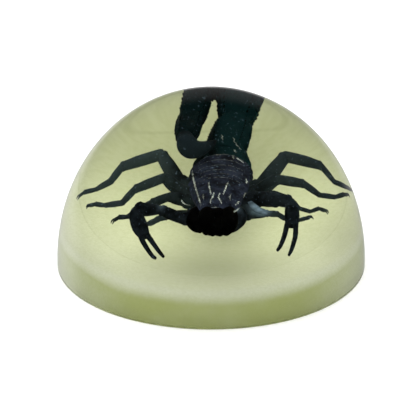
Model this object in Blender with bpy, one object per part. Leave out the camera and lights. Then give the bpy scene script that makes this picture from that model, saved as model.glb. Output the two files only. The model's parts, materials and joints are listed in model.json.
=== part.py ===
"""Domed resin paperweight with a scorpion sealed in it.

A clear dome of casting resin stands on an opaque glow layer that fills its foot. The scorpion
lies level inside the dome, head to the front (-Y), tail curled back over its left side. The
clear resin is parted at the level of the specimen, which lies in a pocket of its own shape.
Metres, +Z up, the origin under the middle of the dome, on the surface that it stands on.
"""

import math

import bmesh
import bpy
from mathutils import Vector

MM = 0.001

# The dome: upright band at the foot, then half an ellipse up to the top.
DOME_RADIUS = 24.13 * MM
DOME_HEIGHT = 27.94 * MM
FOOT_BAND = 0.8 * MM
DOME_STEPS = 10
ROUND_SEGMENTS = 48

# The glow layer: flat on top, its shoulder rounded off, with a clear skirt round it.
GLOW_HEIGHT = 5.2 * MM
GLOW_FLAT_RADIUS = 19.8 * MM
GLOW_FOOT = 1.2 * MM
SKIRT = 0.93 * MM
SHOULDER_STEPS = 5

# The clear resin is parted at this height. GAP is kept between neighbours, POCKET_GAP round the limbs.
PARTING_HEIGHT = 9.4 * MM
GAP = 0.3 * MM
POCKET_GAP = 0.4 * MM

# The trunk from front to back: (y, middle x, half width, height of the edge, top, underside).
CARAPACE = (
    (-5.2, 0.8, 2.0, 10.0, 10.6, 8.5),
    (-4.6, 0.8, 2.3, 10.0, 10.9, 8.3),
    (-1.6, 0.9, 3.0, 9.9, 11.1, 8.0),
    (0.9, 0.9, 3.4, 9.9, 11.2, 7.9),
)
TERGITE_ENDS = (0.9, 1.8, 2.7, 3.7, 4.8, 5.9, 7.0, 8.3)
TRUNK_MIDDLE = (0.9, 1.15)
TRUNK_HALF_WIDTH = (3.45, 3.1, 1.95)
TRUNK_TOP = (11.2, 10.9)
TRUNK_EDGE = 9.9
TRUNK_UNDERSIDE = (7.9, 8.5)
TERGITE_TUCK = 0.055
TERGITE_LIP = 0.1
TRUNK_SIDES = 12

# The limbs as joints from the trunk outwards: (x, y, z, thickness).
LEGS = {
    "left_1": (
        (-0.4, -3.0, 8.4, 1.4), (-2.6, -3.0, 8.3, 1.3), (-4.6, -2.9, 8.5, 1.1), (-5.8, -3.2, 8.4, 0.9),
        (-6.4, -3.7, 7.9, 0.6), (-7.2, -3.4, 7.3, 0.5), (-8.4, -3.5, 7.1, 0.4), (-9.2, -3.6, 7.0, 0.2),
    ),
    "left_2": (
        (-0.6, -1.6, 8.7, 1.7), (-2.9, -0.7, 9.0, 1.7), (-4.6, -0.8, 9.6, 1.0), (-6.8, -2.4, 9.6, 0.9),
        (-8.6, -3.3, 9.0, 0.7), (-9.8, -3.3, 8.2, 0.5), (-10.8, -3.0, 8.0, 0.5), (-11.4, -3.3, 7.8, 0.2),
    ),
    "left_3": (
        (-0.4, -0.4, 8.7, 1.8), (-3.5, 1.3, 9.2, 1.4), (-4.9, 1.9, 10.6, 1.1), (-8.5, 0.0, 10.2, 0.9),
        (-10.2, -1.2, 9.0, 0.7), (-12.1, -0.3, 8.2, 0.5), (-13.1, 0.6, 7.9, 0.5), (-13.9, 0.7, 7.7, 0.2),
    ),
    "left_4": (
        (-0.6, 0.8, 8.9, 1.9), (-3.2, 2.6, 9.3, 1.8), (-5.1, 5.0, 11.6, 1.3), (-9.5, 3.8, 10.9, 1.0),
        (-10.9, 2.8, 9.6, 0.8), (-12.6, 2.8, 8.6, 0.5), (-14.1, 3.3, 8.0, 0.5), (-14.9, 3.0, 7.8, 0.2),
    ),
    "right_1": (
        (2.2, -3.4, 8.6, 1.9), (4.4, -3.1, 8.7, 1.9), (6.6, -3.4, 8.8, 1.1), (7.7, -3.0, 8.4, 0.8),
        (8.5, -3.2, 7.9, 0.5), (10.2, -3.1, 7.6, 0.4), (10.9, -2.6, 7.6, 0.4), (11.4, -2.3, 7.6, 0.2),
    ),
    "right_2": (
        (2.4, -1.9, 8.6, 1.7), (4.9, -1.3, 9.0, 1.4), (6.9, -0.6, 9.8, 1.0), (9.0, -1.0, 9.2, 0.7),
        (10.1, -1.5, 8.4, 0.5), (11.5, -1.7, 8.1, 0.4), (12.4, -0.7, 8.0, 0.4), (13.2, -0.8, 7.8, 0.2),
    ),
    "right_3": (
        (2.3, -0.3, 8.8, 1.8), (4.9, 0.7, 9.3, 1.5), (7.1, 1.7, 10.5, 1.1), (10.3, 1.3, 10.2, 0.9),
        (12.3, 0.8, 9.0, 0.6), (14.2, 1.7, 8.3, 0.5), (15.2, 3.0, 8.0, 0.5), (15.8, 3.3, 7.9, 0.2),
    ),
    "right_4": (
        (2.4, 0.6, 8.9, 1.9), (5.1, 1.6, 9.3, 1.8), (7.7, 4.7, 11.6, 1.3), (12.1, 4.2, 11.0, 1.0),
        (13.9, 3.4, 9.4, 0.7), (15.7, 3.9, 8.7, 0.6), (17.0, 4.3, 8.4, 0.5), (17.6, 4.5, 8.3, 0.2),
    ),
}
LEG_WIDTH_SHARE = 0.85
LEG_HEIGHT_SHARE = 1.25
LEG_SIDES = 6

PINCER_ARMS = {
    "left": ((-0.9, -4.4, 8.9, 2.2), (-3.2, -4.5, 8.9, 2.0), (-5.9, -4.4, 9.8, 1.4), (-8.9, -5.3, 10.3, 1.8)),
    "right": ((2.4, -3.2, 9.1, 1.9), (4.9, -0.9, 9.4, 1.9), (7.6, -2.7, 10.2, 1.7), (9.3, -3.3, 10.4, 1.5)),
}
PINCER_HANDS = {
    "left": ((-8.9, -5.0, 10.5, 0.9), (-9.3, -5.9, 9.9, 1.7), (-9.1, -6.6, 9.3, 2.1), (-8.8, -7.7, 8.7, 2.1),
             (-8.4, -8.9, 8.2, 1.5)),
    "right": ((9.4, -3.1, 10.5, 0.9), (9.7, -3.8, 10.0, 1.7), (9.8, -4.6, 9.5, 1.9), (9.9, -5.6, 8.9, 1.9),
              (10.0, -6.3, 8.5, 1.5)),
}
FINGERS = {
    "left_outer": ((-8.9, -8.2, 8.4, 0.9), (-8.8, -9.4, 8.0, 0.8), (-8.3, -10.8, 7.4, 0.7),
                   (-7.7, -12.2, 6.9, 0.5), (-7.3, -12.8, 6.8, 0.2)),
    "left_inner": ((-8.2, -7.9, 8.5, 0.9), (-7.9, -8.6, 8.1, 0.8), (-7.3, -9.5, 7.5, 0.7),
                   (-6.7, -10.8, 7.0, 0.5), (-6.2, -12.2, 6.8, 0.2)),
    "right_inner": ((9.6, -5.2, 8.9, 0.9), (9.3, -6.3, 8.5, 0.8), (9.1, -7.6, 7.7, 0.6),
                    (8.8, -9.3, 7.1, 0.5), (8.5, -10.4, 6.9, 0.2)),
    "right_outer": ((10.3, -5.4, 8.9, 0.9), (10.5, -6.5, 8.5, 0.8), (10.6, -7.9, 7.7, 0.6),
                    (10.5, -10.2, 7.1, 0.5), (10.3, -11.8, 6.8, 0.2)),
}
PINCER_SIDES = 8
FINGER_SIDES = 6

CHELICERAE = {
    "left": ((0.0, -4.0, 9.4, 1.8), (-0.4, -5.6, 9.4, 2.3), (-0.3, -7.2, 9.0, 2.3), (0.1, -8.3, 8.6, 1.4)),
    "right": ((1.8, -4.0, 9.4, 1.8), (2.1, -5.6, 9.4, 2.3), (2.0, -7.2, 9.0, 2.3), (1.6, -8.3, 8.6, 1.4)),
}
MOUTH_COXAE = {
    "left": ((-0.3, -2.8, 8.9, 1.9), (-1.5, -4.4, 8.8, 2.6), (-1.7, -6.1, 8.7, 2.6)),
    "right": ((2.1, -2.8, 8.9, 1.9), (3.1, -4.6, 8.8, 2.6), (3.0, -6.0, 8.7, 2.4)),
}

# The five segments of the tail by their joints, then the sting: (x, y, z, thickness).
TAIL = (
    (1.25, 7.6, 9.7, 3.9), (1.95, 12.6, 10.0, 3.7), (2.4, 15.8, 10.2, 3.8), (-0.9, 15.4, 10.4, 3.0),
    (-1.8, 11.3, 11.1, 2.6), (-2.6, 6.5, 12.7, 2.4),
)
TAIL_HEIGHT_SHARE = 0.85
STING = (
    (-2.6, 6.8, 12.6, 1.8), (-2.4, 5.8, 12.9, 2.2), (-2.3, 4.8, 13.0, 2.6), (-1.9, 3.9, 12.8, 2.3),
    (-1.0, 3.6, 12.5, 1.4), (-0.3, 4.2, 12.3, 0.9), (0.0, 5.4, 12.2, 0.5), (-0.2, 6.5, 12.1, 0.2),
)
TAIL_SIDES = 8

# Along each segment of a limb: how far, and how thick against the joints' thickness.
LEG_PROFILE = ((0.0, 0.92), (0.5, 1.04))
TAIL_PROFILE = ((0.0, 0.78), (0.22, 0.98), (0.75, 1.0))
POCKET_SIDES = 6
MOST_MITRE = 1.6

# Wider rooms in the pocket, where limbs crowd together or turn back: height share, (x, y, z, width).
ROOMS = {
    "hips": (
        0.28,
        ((0.9, -4.4, 9.2, 7.0), (0.9, -2.8, 9.3, 10.4), (0.9, 1.4, 9.6, 10.8), (0.9, 3.4, 9.8, 8.4)),
    ),
    "sting": (
        0.6,
        ((-3.6, 4.9, 12.9, 3.4), (-2.4, 4.9, 12.9, 5.0), (0.0, 4.9, 12.3, 4.2), (0.6, 4.9, 12.2, 2.8)),
    ),
    "tail_turn": (
        0.72,
        ((3.2, 15.4, 10.2, 3.8), (1.6, 15.2, 10.2, 4.6), (-0.6, 15.0, 10.4, 4.4), (-1.8, 14.8, 10.4, 3.2)),
    ),
}
ROOM_SIDES = 10


def clear_scene():
    """Removes whatever the scene holds."""
    for thing in list(bpy.data.objects):
        bpy.data.objects.remove(thing)


def material(name, colour, roughness, transmission=0.0, ior=1.5):
    """A plain Principled material."""
    made = bpy.data.materials.new(name)
    made.use_nodes = True
    shader = made.node_tree.nodes["Principled BSDF"]
    shader.inputs["Base Color"].default_value = (*colour, 1.0)
    shader.inputs["Roughness"].default_value = roughness
    shader.inputs["Transmission Weight"].default_value = transmission
    shader.inputs["IOR"].default_value = ior
    return made


def mesh_object(name, rings, finish=None, collection=None, smooth_angle=35):
    """A closed skin over rings of points. A ring of one point is a pole, and open ends are capped."""
    shape = bmesh.new()
    rows = [[shape.verts.new(point) for point in ring] for ring in rings]
    for near, far in zip(rows, rows[1:]):
        count = max(len(near), len(far))
        for i in range(count):
            j = (i + 1) % count
            corners = [near[i % len(near)], near[j % len(near)], far[j % len(far)], far[i % len(far)]]
            unique = list(dict.fromkeys(corners))
            shape.faces.new(unique)
    for end in (rows[0], rows[-1]):
        if len(end) > 1:
            shape.faces.new(end)
    bmesh.ops.recalc_face_normals(shape, faces=shape.faces)
    mesh = bpy.data.meshes.new(name)
    shape.to_mesh(mesh)
    shape.free()
    mesh.shade_smooth()
    mesh.set_sharp_from_angle(angle=math.radians(smooth_angle))
    made = bpy.data.objects.new(name, mesh)
    (collection or bpy.context.scene.collection).objects.link(made)
    if finish:
        mesh.materials.append(finish)
    return made


def turned(name, profile, finish):
    """A solid turned about the Z axis from (radius, height) points that start and end on the axis."""
    rings = []
    for radius, height in profile:
        if radius == 0:
            rings.append([Vector((0, 0, height))])
            continue
        turn = 2 * math.pi / ROUND_SEGMENTS
        rings.append(
            [
                Vector((radius * math.cos(i * turn), radius * math.sin(i * turn), height))
                for i in range(ROUND_SEGMENTS)
            ]
        )
    return mesh_object(name, rings, finish)


def dome_radius(height):
    """The dome's radius at a height: upright along the foot band, elliptical above it."""
    if height <= FOOT_BAND:
        return DOME_RADIUS
    share = (height - FOOT_BAND) / (DOME_HEIGHT - FOOT_BAND)
    return DOME_RADIUS * math.sqrt(max(0.0, 1 - share * share))


def dome_outline(low, high, steps):
    """(radius, height) points up the outside of the dome, evenly spread round its curve."""
    span = DOME_HEIGHT - FOOT_BAND
    first = math.asin(max(0.0, low - FOOT_BAND) / span)
    last = math.asin(min(1.0, (high - FOOT_BAND) / span))
    heights = [FOOT_BAND + span * math.sin(first + (last - first) * k / steps) for k in range(steps + 1)]
    return [(dome_radius(height), height) for height in heights]


def shoulder_outline(offset):
    """(radius, height) points over the glow layer's rounded shoulder, from its flat top down and out."""
    wall = DOME_RADIUS - SKIRT + offset
    top = GLOW_HEIGHT + offset
    points = []
    for k in range(SHOULDER_STEPS + 1):
        angle = k / SHOULDER_STEPS * math.pi / 2
        radius = GLOW_FLAT_RADIUS + (wall - GLOW_FLAT_RADIUS) * math.sin(angle)
        height = GLOW_FOOT + (top - GLOW_FOOT) * math.cos(angle)
        points.append((radius, height))
    return points


def glow_layer(finish):
    """The opaque layer that fills the foot of the dome."""
    shoulder = shoulder_outline(0.0)
    wall = shoulder[-1][0]
    profile = [(0, 0), (wall, 0)] + shoulder[::-1] + [(0, GLOW_HEIGHT)]
    return turned("glow_base", profile, finish)


def resin_lower(finish):
    """The clear resin from the glow layer up to the parting level, with the skirt round the foot."""
    inside = [(0, GLOW_HEIGHT + GAP)] + shoulder_outline(GAP)
    wall = inside[-1][0]
    outside = dome_outline(FOOT_BAND, PARTING_HEIGHT - GAP / 2, DOME_STEPS // 3)
    profile = inside + [(wall, 0), (DOME_RADIUS, 0)] + outside + [(0, PARTING_HEIGHT - GAP / 2)]
    return turned("resin_dome_lower", profile, finish)


def resin_upper(finish):
    """The clear resin above the parting level."""
    low = PARTING_HEIGHT + GAP / 2
    outside = dome_outline(low, DOME_HEIGHT, DOME_STEPS)
    profile = [(0, low)] + outside[:-1] + [(0, DOME_HEIGHT)]
    return turned("resin_dome_upper", profile, finish)


def ring_round(centre, arriving, leaving, width, height, sides):
    """An ellipse round a limb, its height as upright as it can be, mitred where the limb bends."""
    forward = (arriving + leaving).normalized()
    side = forward.cross(Vector((0, 0, 1))).normalized()
    rise = side.cross(forward).normalized()
    bend = (leaving - arriving).normalized()
    stretch = min(MOST_MITRE, 1 / forward.dot(leaving)) - 1
    ring = []
    for i in range(sides):
        angle = 2 * math.pi * (i + 0.5) / sides
        offset = side * (width / 2 * math.cos(angle)) + rise * (height / 2 * math.sin(angle))
        ring.append(centre + offset + bend * (offset.dot(bend) * stretch))
    return ring


def skin(name, stations, sides, width_share, height_share, collection, grow=0.0):
    """A limb's skin through (point, thickness) stations, each ring turned to the limb's own direction."""
    rings = []
    points = [point for point, _ in stations]
    ways = [(after - before).normalized() for before, after in zip(points, points[1:])]
    last = len(stations) - 1
    corner = 1 / math.cos(math.pi / sides) if grow else 1.0
    for i, (point, thickness) in enumerate(stations):
        arriving = ways[max(i - 1, 0)]
        leaving = ways[min(i, last - 1)]
        width = (thickness * width_share + 2 * grow) * corner
        height = (thickness * height_share + 2 * grow) * corner
        shift = leaving * (grow * ((i == last) - (i == 0)))
        rings.append(ring_round(point + shift, arriving, leaving, width, height, sides))
    return mesh_object(name, rings, None, collection)


def joints_of(rows):
    """(point, thickness) for each row of millimetres."""
    return [(Vector(row[:3]) * MM, row[3] * MM) for row in rows]


def segmented(rows, profile):
    """Stations along a jointed limb: each segment swells between its joints."""
    joints = joints_of(rows)
    stations = []
    for (start, thick), (end, thin) in zip(joints, joints[1:]):
        for share, swell in profile:
            stations.append((start.lerp(end, share), (thick + (thin - thick) * share) * swell))
    tip, thickness = joints[-1]
    stations.append((tip, thickness * profile[0][1]))
    return stations


def leg_segments(rows):
    """Stations along a leg or a pincer's arm."""
    return segmented(rows, LEG_PROFILE)


def tail_segments(rows):
    """Stations along the tail, waisted at its joints."""
    return segmented(rows, TAIL_PROFILE)


def trunk_section(y, middle, half_width, edge, top, underside, scale=1.0, grow=0.0):
    """One ring of the trunk, fuller above and below than an ellipse."""
    points = []
    for i in range(TRUNK_SIDES):
        angle = 2 * math.pi * (i + 0.5) / TRUNK_SIDES
        across = math.copysign(abs(math.cos(angle)) ** 0.8, math.cos(angle))
        upward = math.sin(angle)
        reach = (top - edge if upward > 0 else edge - underside) * scale + grow
        x = middle + across * (half_width * scale + grow)
        points.append(Vector((x, y, edge + upward * reach)) * MM)
    return points


def bend(values, share):
    """Reads a short list of values as a curve from its first to its last."""
    if len(values) == 2:
        return values[0] + (values[1] - values[0]) * share
    first, middle, last = values
    return first * (1 - share) ** 2 + (4 * middle - first - last) * share * (1 - share) + last * share**2


def tergite_section(y, scale, grow=0.0):
    """A ring of the hind trunk at y."""
    share = (y - TERGITE_ENDS[0]) / (TERGITE_ENDS[-1] - TERGITE_ENDS[0])
    return trunk_section(
        y,
        bend(TRUNK_MIDDLE, share),
        bend(TRUNK_HALF_WIDTH, share),
        TRUNK_EDGE,
        bend(TRUNK_TOP, share),
        bend(TRUNK_UNDERSIDE, share),
        scale,
        grow,
    )


def trunk(name, collection, finish=None):
    """Carapace and seven back plates, the hind edge of each standing proud of the next one's front."""
    rings = [trunk_section(*row) for row in CARAPACE]
    for start, end in zip(TERGITE_ENDS, TERGITE_ENDS[1:]):
        rings.append(tergite_section(start + TERGITE_LIP, 1 - TERGITE_TUCK))
        rings.append(tergite_section(end, 1.0))
    return mesh_object(name, rings, finish, collection)


def trunk_pocket(collection):
    """The room round the trunk."""
    gap = POCKET_GAP / MM
    rings = [trunk_section(CARAPACE[0][0] - gap, *CARAPACE[0][1:], grow=gap)]
    rings += [trunk_section(*row, grow=gap) for row in CARAPACE[1:]]
    rings += [tergite_section(y, 1.0, grow=gap) for y in (*TERGITE_ENDS[2:-1:2], TERGITE_ENDS[-1] + gap)]
    return mesh_object("pocket_trunk", rings, None, collection)


def limb_parts(leg_stations, tail_stations):
    """Every limb as (name, stations, sides, width share, height share)."""
    parts = []
    for name, rows in LEGS.items():
        parts.append((f"leg_{name}", leg_stations(rows), LEG_SIDES, LEG_WIDTH_SHARE, LEG_HEIGHT_SHARE))
    for name, rows in PINCER_ARMS.items():
        parts.append((f"arm_{name}", leg_stations(rows), PINCER_SIDES, 1.0, 1.0))
    for name, rows in PINCER_HANDS.items():
        parts.append((f"hand_{name}", joints_of(rows), PINCER_SIDES, 1.0, 0.85))
    for name, rows in FINGERS.items():
        parts.append((f"finger_{name}", joints_of(rows), FINGER_SIDES, 0.9, 1.0))
    for name, rows in CHELICERAE.items():
        parts.append((f"mouth_claw_{name}", joints_of(rows), PINCER_SIDES, 1.0, 1.0))
    for name, rows in MOUTH_COXAE.items():
        parts.append((f"mouth_coxa_{name}", joints_of(rows), PINCER_SIDES, 1.0, 1.0))
    parts.append(("tail", tail_stations(TAIL), TAIL_SIDES, 1.0, TAIL_HEIGHT_SHARE))
    parts.append(("sting", joints_of(STING), TAIL_SIDES, 1.0, 1.0))
    return parts


def helper_collection(name):
    """A collection for shapes that are joined to a piece or cut from it."""
    made = bpy.data.collections.new(name)
    bpy.context.scene.collection.children.link(made)
    return made


def as_helpers(collection):
    """Shows the collection's objects as wires and leaves them out of a render."""
    for helper in collection.objects:
        helper.hide_render = True
        helper.display_type = "WIRE"


def boolean(target, operation, collection):
    """Joins the collection's shapes to the target, or cuts them from it."""
    change = target.modifiers.new(operation.lower(), "BOOLEAN")
    change.operation = operation
    change.operand_type = "COLLECTION"
    change.collection = collection
    change.solver = "EXACT"
    return change


def scorpion(finish):
    """The dried specimen: one piece, its limbs grown from the trunk."""
    limbs = helper_collection("scorpion_limbs")
    for name, stations, sides, width, height in limb_parts(leg_segments, tail_segments):
        skin(name, stations, sides, width, height, limbs)
    as_helpers(limbs)
    body = trunk("scorpion", bpy.context.scene.collection, finish)
    boolean(body, "UNION", limbs)
    return body


def pocket():
    """The room that the specimen fills in the resin."""
    room = helper_collection("pocket")
    trunk_pocket(room)
    for name, stations, _, width, height in limb_parts(joints_of, joints_of):
        skin(f"pocket_{name}", stations, POCKET_SIDES, width, height, room, grow=POCKET_GAP)
    for name, (height, rows) in ROOMS.items():
        skin(f"pocket_{name}", joints_of(rows), ROOM_SIDES, 1.0, height, room, grow=GAP)
    as_helpers(room)
    return room


def main():
    clear_scene()
    clear_resin = material("clear_resin", (1.0, 1.0, 1.0), 0.02, transmission=1.0)
    glow_resin = material("glow_resin", (0.58, 0.64, 0.36), 0.45)
    chitin = material("black_chitin", (0.012, 0.014, 0.018), 0.35)
    glow_layer(glow_resin)
    room = pocket()
    for half in (resin_lower(clear_resin), resin_upper(clear_resin)):
        boolean(half, "DIFFERENCE", room)
    scorpion(chitin)


main()
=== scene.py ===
"""Looks of a domed resin paperweight with a scorpion sealed in it.

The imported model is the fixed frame. One clear dome stands for its two halves of clear resin, a
finely turned glow layer stands for the plain one, and the specimen is built again with its
plates, keels, grains, teeth, claws and bristles. Metres, +Z up, head of the specimen to -Y.
"""

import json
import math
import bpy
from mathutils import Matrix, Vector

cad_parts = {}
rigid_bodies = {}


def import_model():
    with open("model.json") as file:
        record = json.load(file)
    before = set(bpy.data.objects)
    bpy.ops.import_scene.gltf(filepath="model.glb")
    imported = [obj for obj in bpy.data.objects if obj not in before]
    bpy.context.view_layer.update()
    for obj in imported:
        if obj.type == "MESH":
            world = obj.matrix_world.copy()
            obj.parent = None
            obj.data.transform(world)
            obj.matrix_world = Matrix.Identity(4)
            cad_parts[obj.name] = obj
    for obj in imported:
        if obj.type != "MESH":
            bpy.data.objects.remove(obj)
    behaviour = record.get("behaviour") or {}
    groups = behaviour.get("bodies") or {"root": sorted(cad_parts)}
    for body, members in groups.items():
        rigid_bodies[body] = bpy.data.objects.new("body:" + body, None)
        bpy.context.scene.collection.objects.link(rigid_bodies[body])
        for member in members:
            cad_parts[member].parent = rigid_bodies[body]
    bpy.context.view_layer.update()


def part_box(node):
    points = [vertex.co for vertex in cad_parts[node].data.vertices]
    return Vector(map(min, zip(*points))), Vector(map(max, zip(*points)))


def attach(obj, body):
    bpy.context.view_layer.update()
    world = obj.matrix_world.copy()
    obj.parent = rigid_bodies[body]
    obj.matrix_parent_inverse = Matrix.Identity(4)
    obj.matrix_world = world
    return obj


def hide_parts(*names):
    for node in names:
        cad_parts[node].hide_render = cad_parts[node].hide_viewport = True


bl_info = {
    "name": "Resin Block Specimen",
    "version": (1, 0, 0),
    "blender": (4, 5, 0),
    "location": "View3D > Sidebar > Resin Block",
    "description": "Builds a clear resin dome on a glow layer with a scorpion sealed in it",
    "category": "Add Mesh",
}

import bmesh
import bpy
from mathutils import Vector
from mathutils.bvhtree import BVHTree

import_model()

MM = 0.001
BODY = "root"

# Read from the frame: the dome's radius and height and the glow layer's top.
DOME_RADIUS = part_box("resin_dome_lower")[1].x
DOME_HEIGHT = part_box("resin_dome_upper")[1].z
GLOW_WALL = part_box("glow_base")[1].x
GLOW_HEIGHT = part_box("glow_base")[1].z

# The trunk from front to back: (y, middle x, half width, height of the edge, top, underside), in mm.
CARAPACE = (
    (-5.2, 0.8, 2.0, 10.0, 10.6, 8.5),
    (-4.6, 0.8, 2.3, 10.0, 10.9, 8.3),
    (-1.6, 0.9, 3.0, 9.9, 11.1, 8.0),
    (0.9, 0.9, 3.4, 9.9, 11.2, 7.9),
)
CARAPACE_RINGS = 44
# Its rounded front: (distance before the first row, size, push forwards); its hem: (past, size).
CARAPACE_NOSE = ((0.02, 0.72, 0.22), (0.0, 0.9, 0.12))
CARAPACE_HEM = (0.03, 0.93)
# Its bulges, and its furrows below 0: (height, across, spread, y, spread), in mm.
CARAPACE_BUMPS = (
    (-0.16, 0.0, 0.28, -0.6, 1.1), (-0.16, 0.0, 0.28, -4.4, 0.7), (0.26, 0.0, 0.5, -2.3, 0.6),
    (0.14, 1.3, 0.6, -1.4, 1.6), (0.14, -1.3, 0.6, -1.4, 1.6), (0.1, 0.9, 0.45, -4.3, 0.7),
    (0.1, -0.9, 0.45, -4.3, 0.7),
)
# The furrow across it, which fades out in the middle: (depth, y, spread, spread of the gap), in mm.
CROSS_FURROW = (0.12, -0.1, 0.3, 0.5)
# Domed eyes on it: (x, y, radius), in mm. Two stand on the eye hill, three at each front corner.
EYES = [(0.62, -2.35, 0.2), (1.12, -2.35, 0.2)]
EYES += [(0.8 + side * (1.55 + 0.08 * k), -4.75 + 0.32 * k, 0.11) for side in (-1, 1) for k in range(3)]
EYE_SINK = 0.25
EYE_RINGS = 10
EYE_SIDES = 16
TERGITE_ENDS = (0.9, 1.8, 2.7, 3.7, 4.8, 5.9, 7.0, 8.3)
TRUNK_MIDDLE = (0.9, 1.15)
TRUNK_HALF_WIDTH = (3.45, 3.1, 1.95)
TRUNK_TOP = (11.2, 10.9)
TRUNK_EDGE = 9.9
TRUNK_UNDERSIDE = (7.9, 8.5)
TRUNK_SIDES = 64
TRUNK_SQUARENESS = 0.8
# How the belly tucks in below its edges: (angle, spread in degrees, share).
BELLY_TUCKS = ((205, 12, 0.18), (335, 12, 0.18))
# Keels along the back plates: (height, across, spread), in mm.
PLATE_KEELS = ((0.06, 0.0, 0.18), (0.04, 1.3, 0.2), (0.04, -1.3, 0.2))
# How thickly grains stand on the back plates, and on the carapace: in its middle, and more at its sides.
BACK_GRAIN = 0.8
CARAPACE_GRAIN = (0.35, 0.65)
CARAPACE_GRAIN_SIDE = (2.2, 0.9)

# How far the hind edges bow forwards at the flanks, in mm: (y, bow).
PLATE_BOW = ((-3.0, 0.0), (0.9, 1.5), (5.9, 1.8), (8.3, 0.8))

# A back plate from its tucked front edge to its raised hind edge: (share of its length, size).
PLATE_FORM = (
    (-0.25, 0.90), (0.02, 0.935), (0.1, 0.95), (0.35, 0.965), (0.6, 0.975), (0.8, 0.985), (0.9, 1.0),
    (0.97, 1.004), (1.0, 0.985), (1.02, 0.94),
)

# The limbs by their joints from the trunk outwards: (x, y, z, thickness), in mm.
LEGS = {
    "left_1": (
        (-0.4, -3.3, 8.4, 1.8), (-2.6, -3.3, 8.3, 1.4), (-4.6, -3.2, 8.35, 0.8), (-5.8, -3.5, 8.2, 0.7),
        (-6.4, -3.7, 7.9, 0.6), (-7.1, -3.4, 7.3, 0.5), (-7.9, -3.5, 7.1, 0.4), (-8.5, -3.6, 7.0, 0.2),
    ),
    "left_2": (
        (-0.6, -1.6, 8.7, 1.7), (-2.9, -0.7, 9.0, 1.4), (-4.6, -0.8, 9.6, 1.0), (-6.8, -2.4, 9.6, 0.9),
        (-8.6, -3.3, 9.0, 0.7), (-9.8, -3.3, 8.2, 0.5), (-10.8, -3.0, 8.0, 0.5), (-11.4, -3.3, 7.8, 0.2),
    ),
    "left_3": (
        (-0.4, -0.4, 8.7, 1.8), (-3.5, 1.3, 9.2, 1.4), (-4.9, 1.9, 10.6, 1.1), (-8.5, 0.0, 10.2, 0.9),
        (-10.2, -1.2, 9.0, 0.7), (-12.1, -0.3, 8.2, 0.5), (-13.1, 0.6, 7.9, 0.5), (-13.9, 0.7, 7.7, 0.2),
    ),
    "left_4": (
        (-0.6, 0.8, 8.9, 1.9), (-3.2, 2.6, 9.3, 1.8), (-5.1, 5.0, 11.6, 1.3), (-9.5, 3.8, 10.9, 1.0),
        (-10.9, 2.8, 9.6, 0.8), (-12.6, 2.8, 8.6, 0.5), (-14.1, 3.3, 8.0, 0.5), (-14.9, 3.0, 7.8, 0.2),
    ),
    "right_1": (
        (2.2, -3.4, 8.6, 1.9), (4.4, -3.1, 8.7, 1.5), (6.6, -3.4, 8.7, 0.7), (7.7, -3.0, 8.4, 0.6),
        (8.5, -3.2, 7.9, 0.5), (10.2, -3.1, 7.6, 0.4), (10.9, -2.6, 7.6, 0.4), (11.4, -2.3, 7.6, 0.2),
    ),
    "right_2": (
        (2.4, -1.9, 8.6, 1.7), (4.9, -1.3, 9.0, 1.4), (6.9, -0.6, 9.8, 1.0), (9.0, -1.0, 9.2, 0.7),
        (10.1, -1.5, 8.4, 0.5), (11.5, -1.7, 8.1, 0.4), (12.4, -0.7, 8.0, 0.4), (13.2, -0.8, 7.8, 0.2),
    ),
    "right_3": (
        (2.3, -0.3, 8.8, 1.8), (4.9, 0.7, 9.3, 1.5), (7.1, 1.7, 10.5, 1.1), (10.3, 1.3, 10.2, 0.9),
        (12.3, 0.8, 9.0, 0.6), (14.2, 1.7, 8.3, 0.5), (15.2, 3.0, 8.0, 0.5), (15.8, 3.3, 7.9, 0.2),
    ),
    "right_4": (
        (2.4, 0.6, 8.9, 1.9), (5.1, 1.6, 9.3, 1.8), (7.7, 4.7, 11.6, 1.3), (12.1, 4.2, 11.0, 1.0),
        (13.9, 3.4, 9.4, 0.7), (15.7, 3.9, 8.7, 0.6), (17.0, 4.3, 8.4, 0.5), (17.6, 4.5, 8.3, 0.2),
    ),
}
LEG_WEAR = {
    "left_1": 0.5, "left_2": 0.25, "left_3": 0.7, "left_4": 1.1,
    "right_1": 0.5, "right_2": 0.45, "right_3": 0.5, "right_4": 0.6,
}
LEG_WIDTH_SHARE = 0.85
LEG_HEIGHT_SHARE = 1.25
LEG_SIDES = 18
LEAST_LIMB = 0.42 * MM
# Nothing on a limb is thinner than this, and no two of its rings are closer.
LEAST_DETAIL = 0.02 * MM
# Each claw beyond a leg's tip: (reach, out, rise, thickness). The spur: (reach, rise, thickness).
LEG_CLAW = (
    (-0.15, 0.05, 0.0, 0.3), (0.15, 0.13, 0.06, 0.26), (0.4, 0.18, -0.03, 0.2), (0.52, 0.16, -0.3, 0.08),
)
LEG_SPUR = ((-0.05, -0.05, 0.14), (0.12, -0.22, 0.05))
CLAW_SIDES = 8
# A limb's paler part starts this far from the trunk's middle and is full so much farther, in mm.
WORN_FROM = 4.5
WORN_OVER = 2.0
ARM_WEAR = 0.35
ARM_WEAR_FRONT = -4.5

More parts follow.
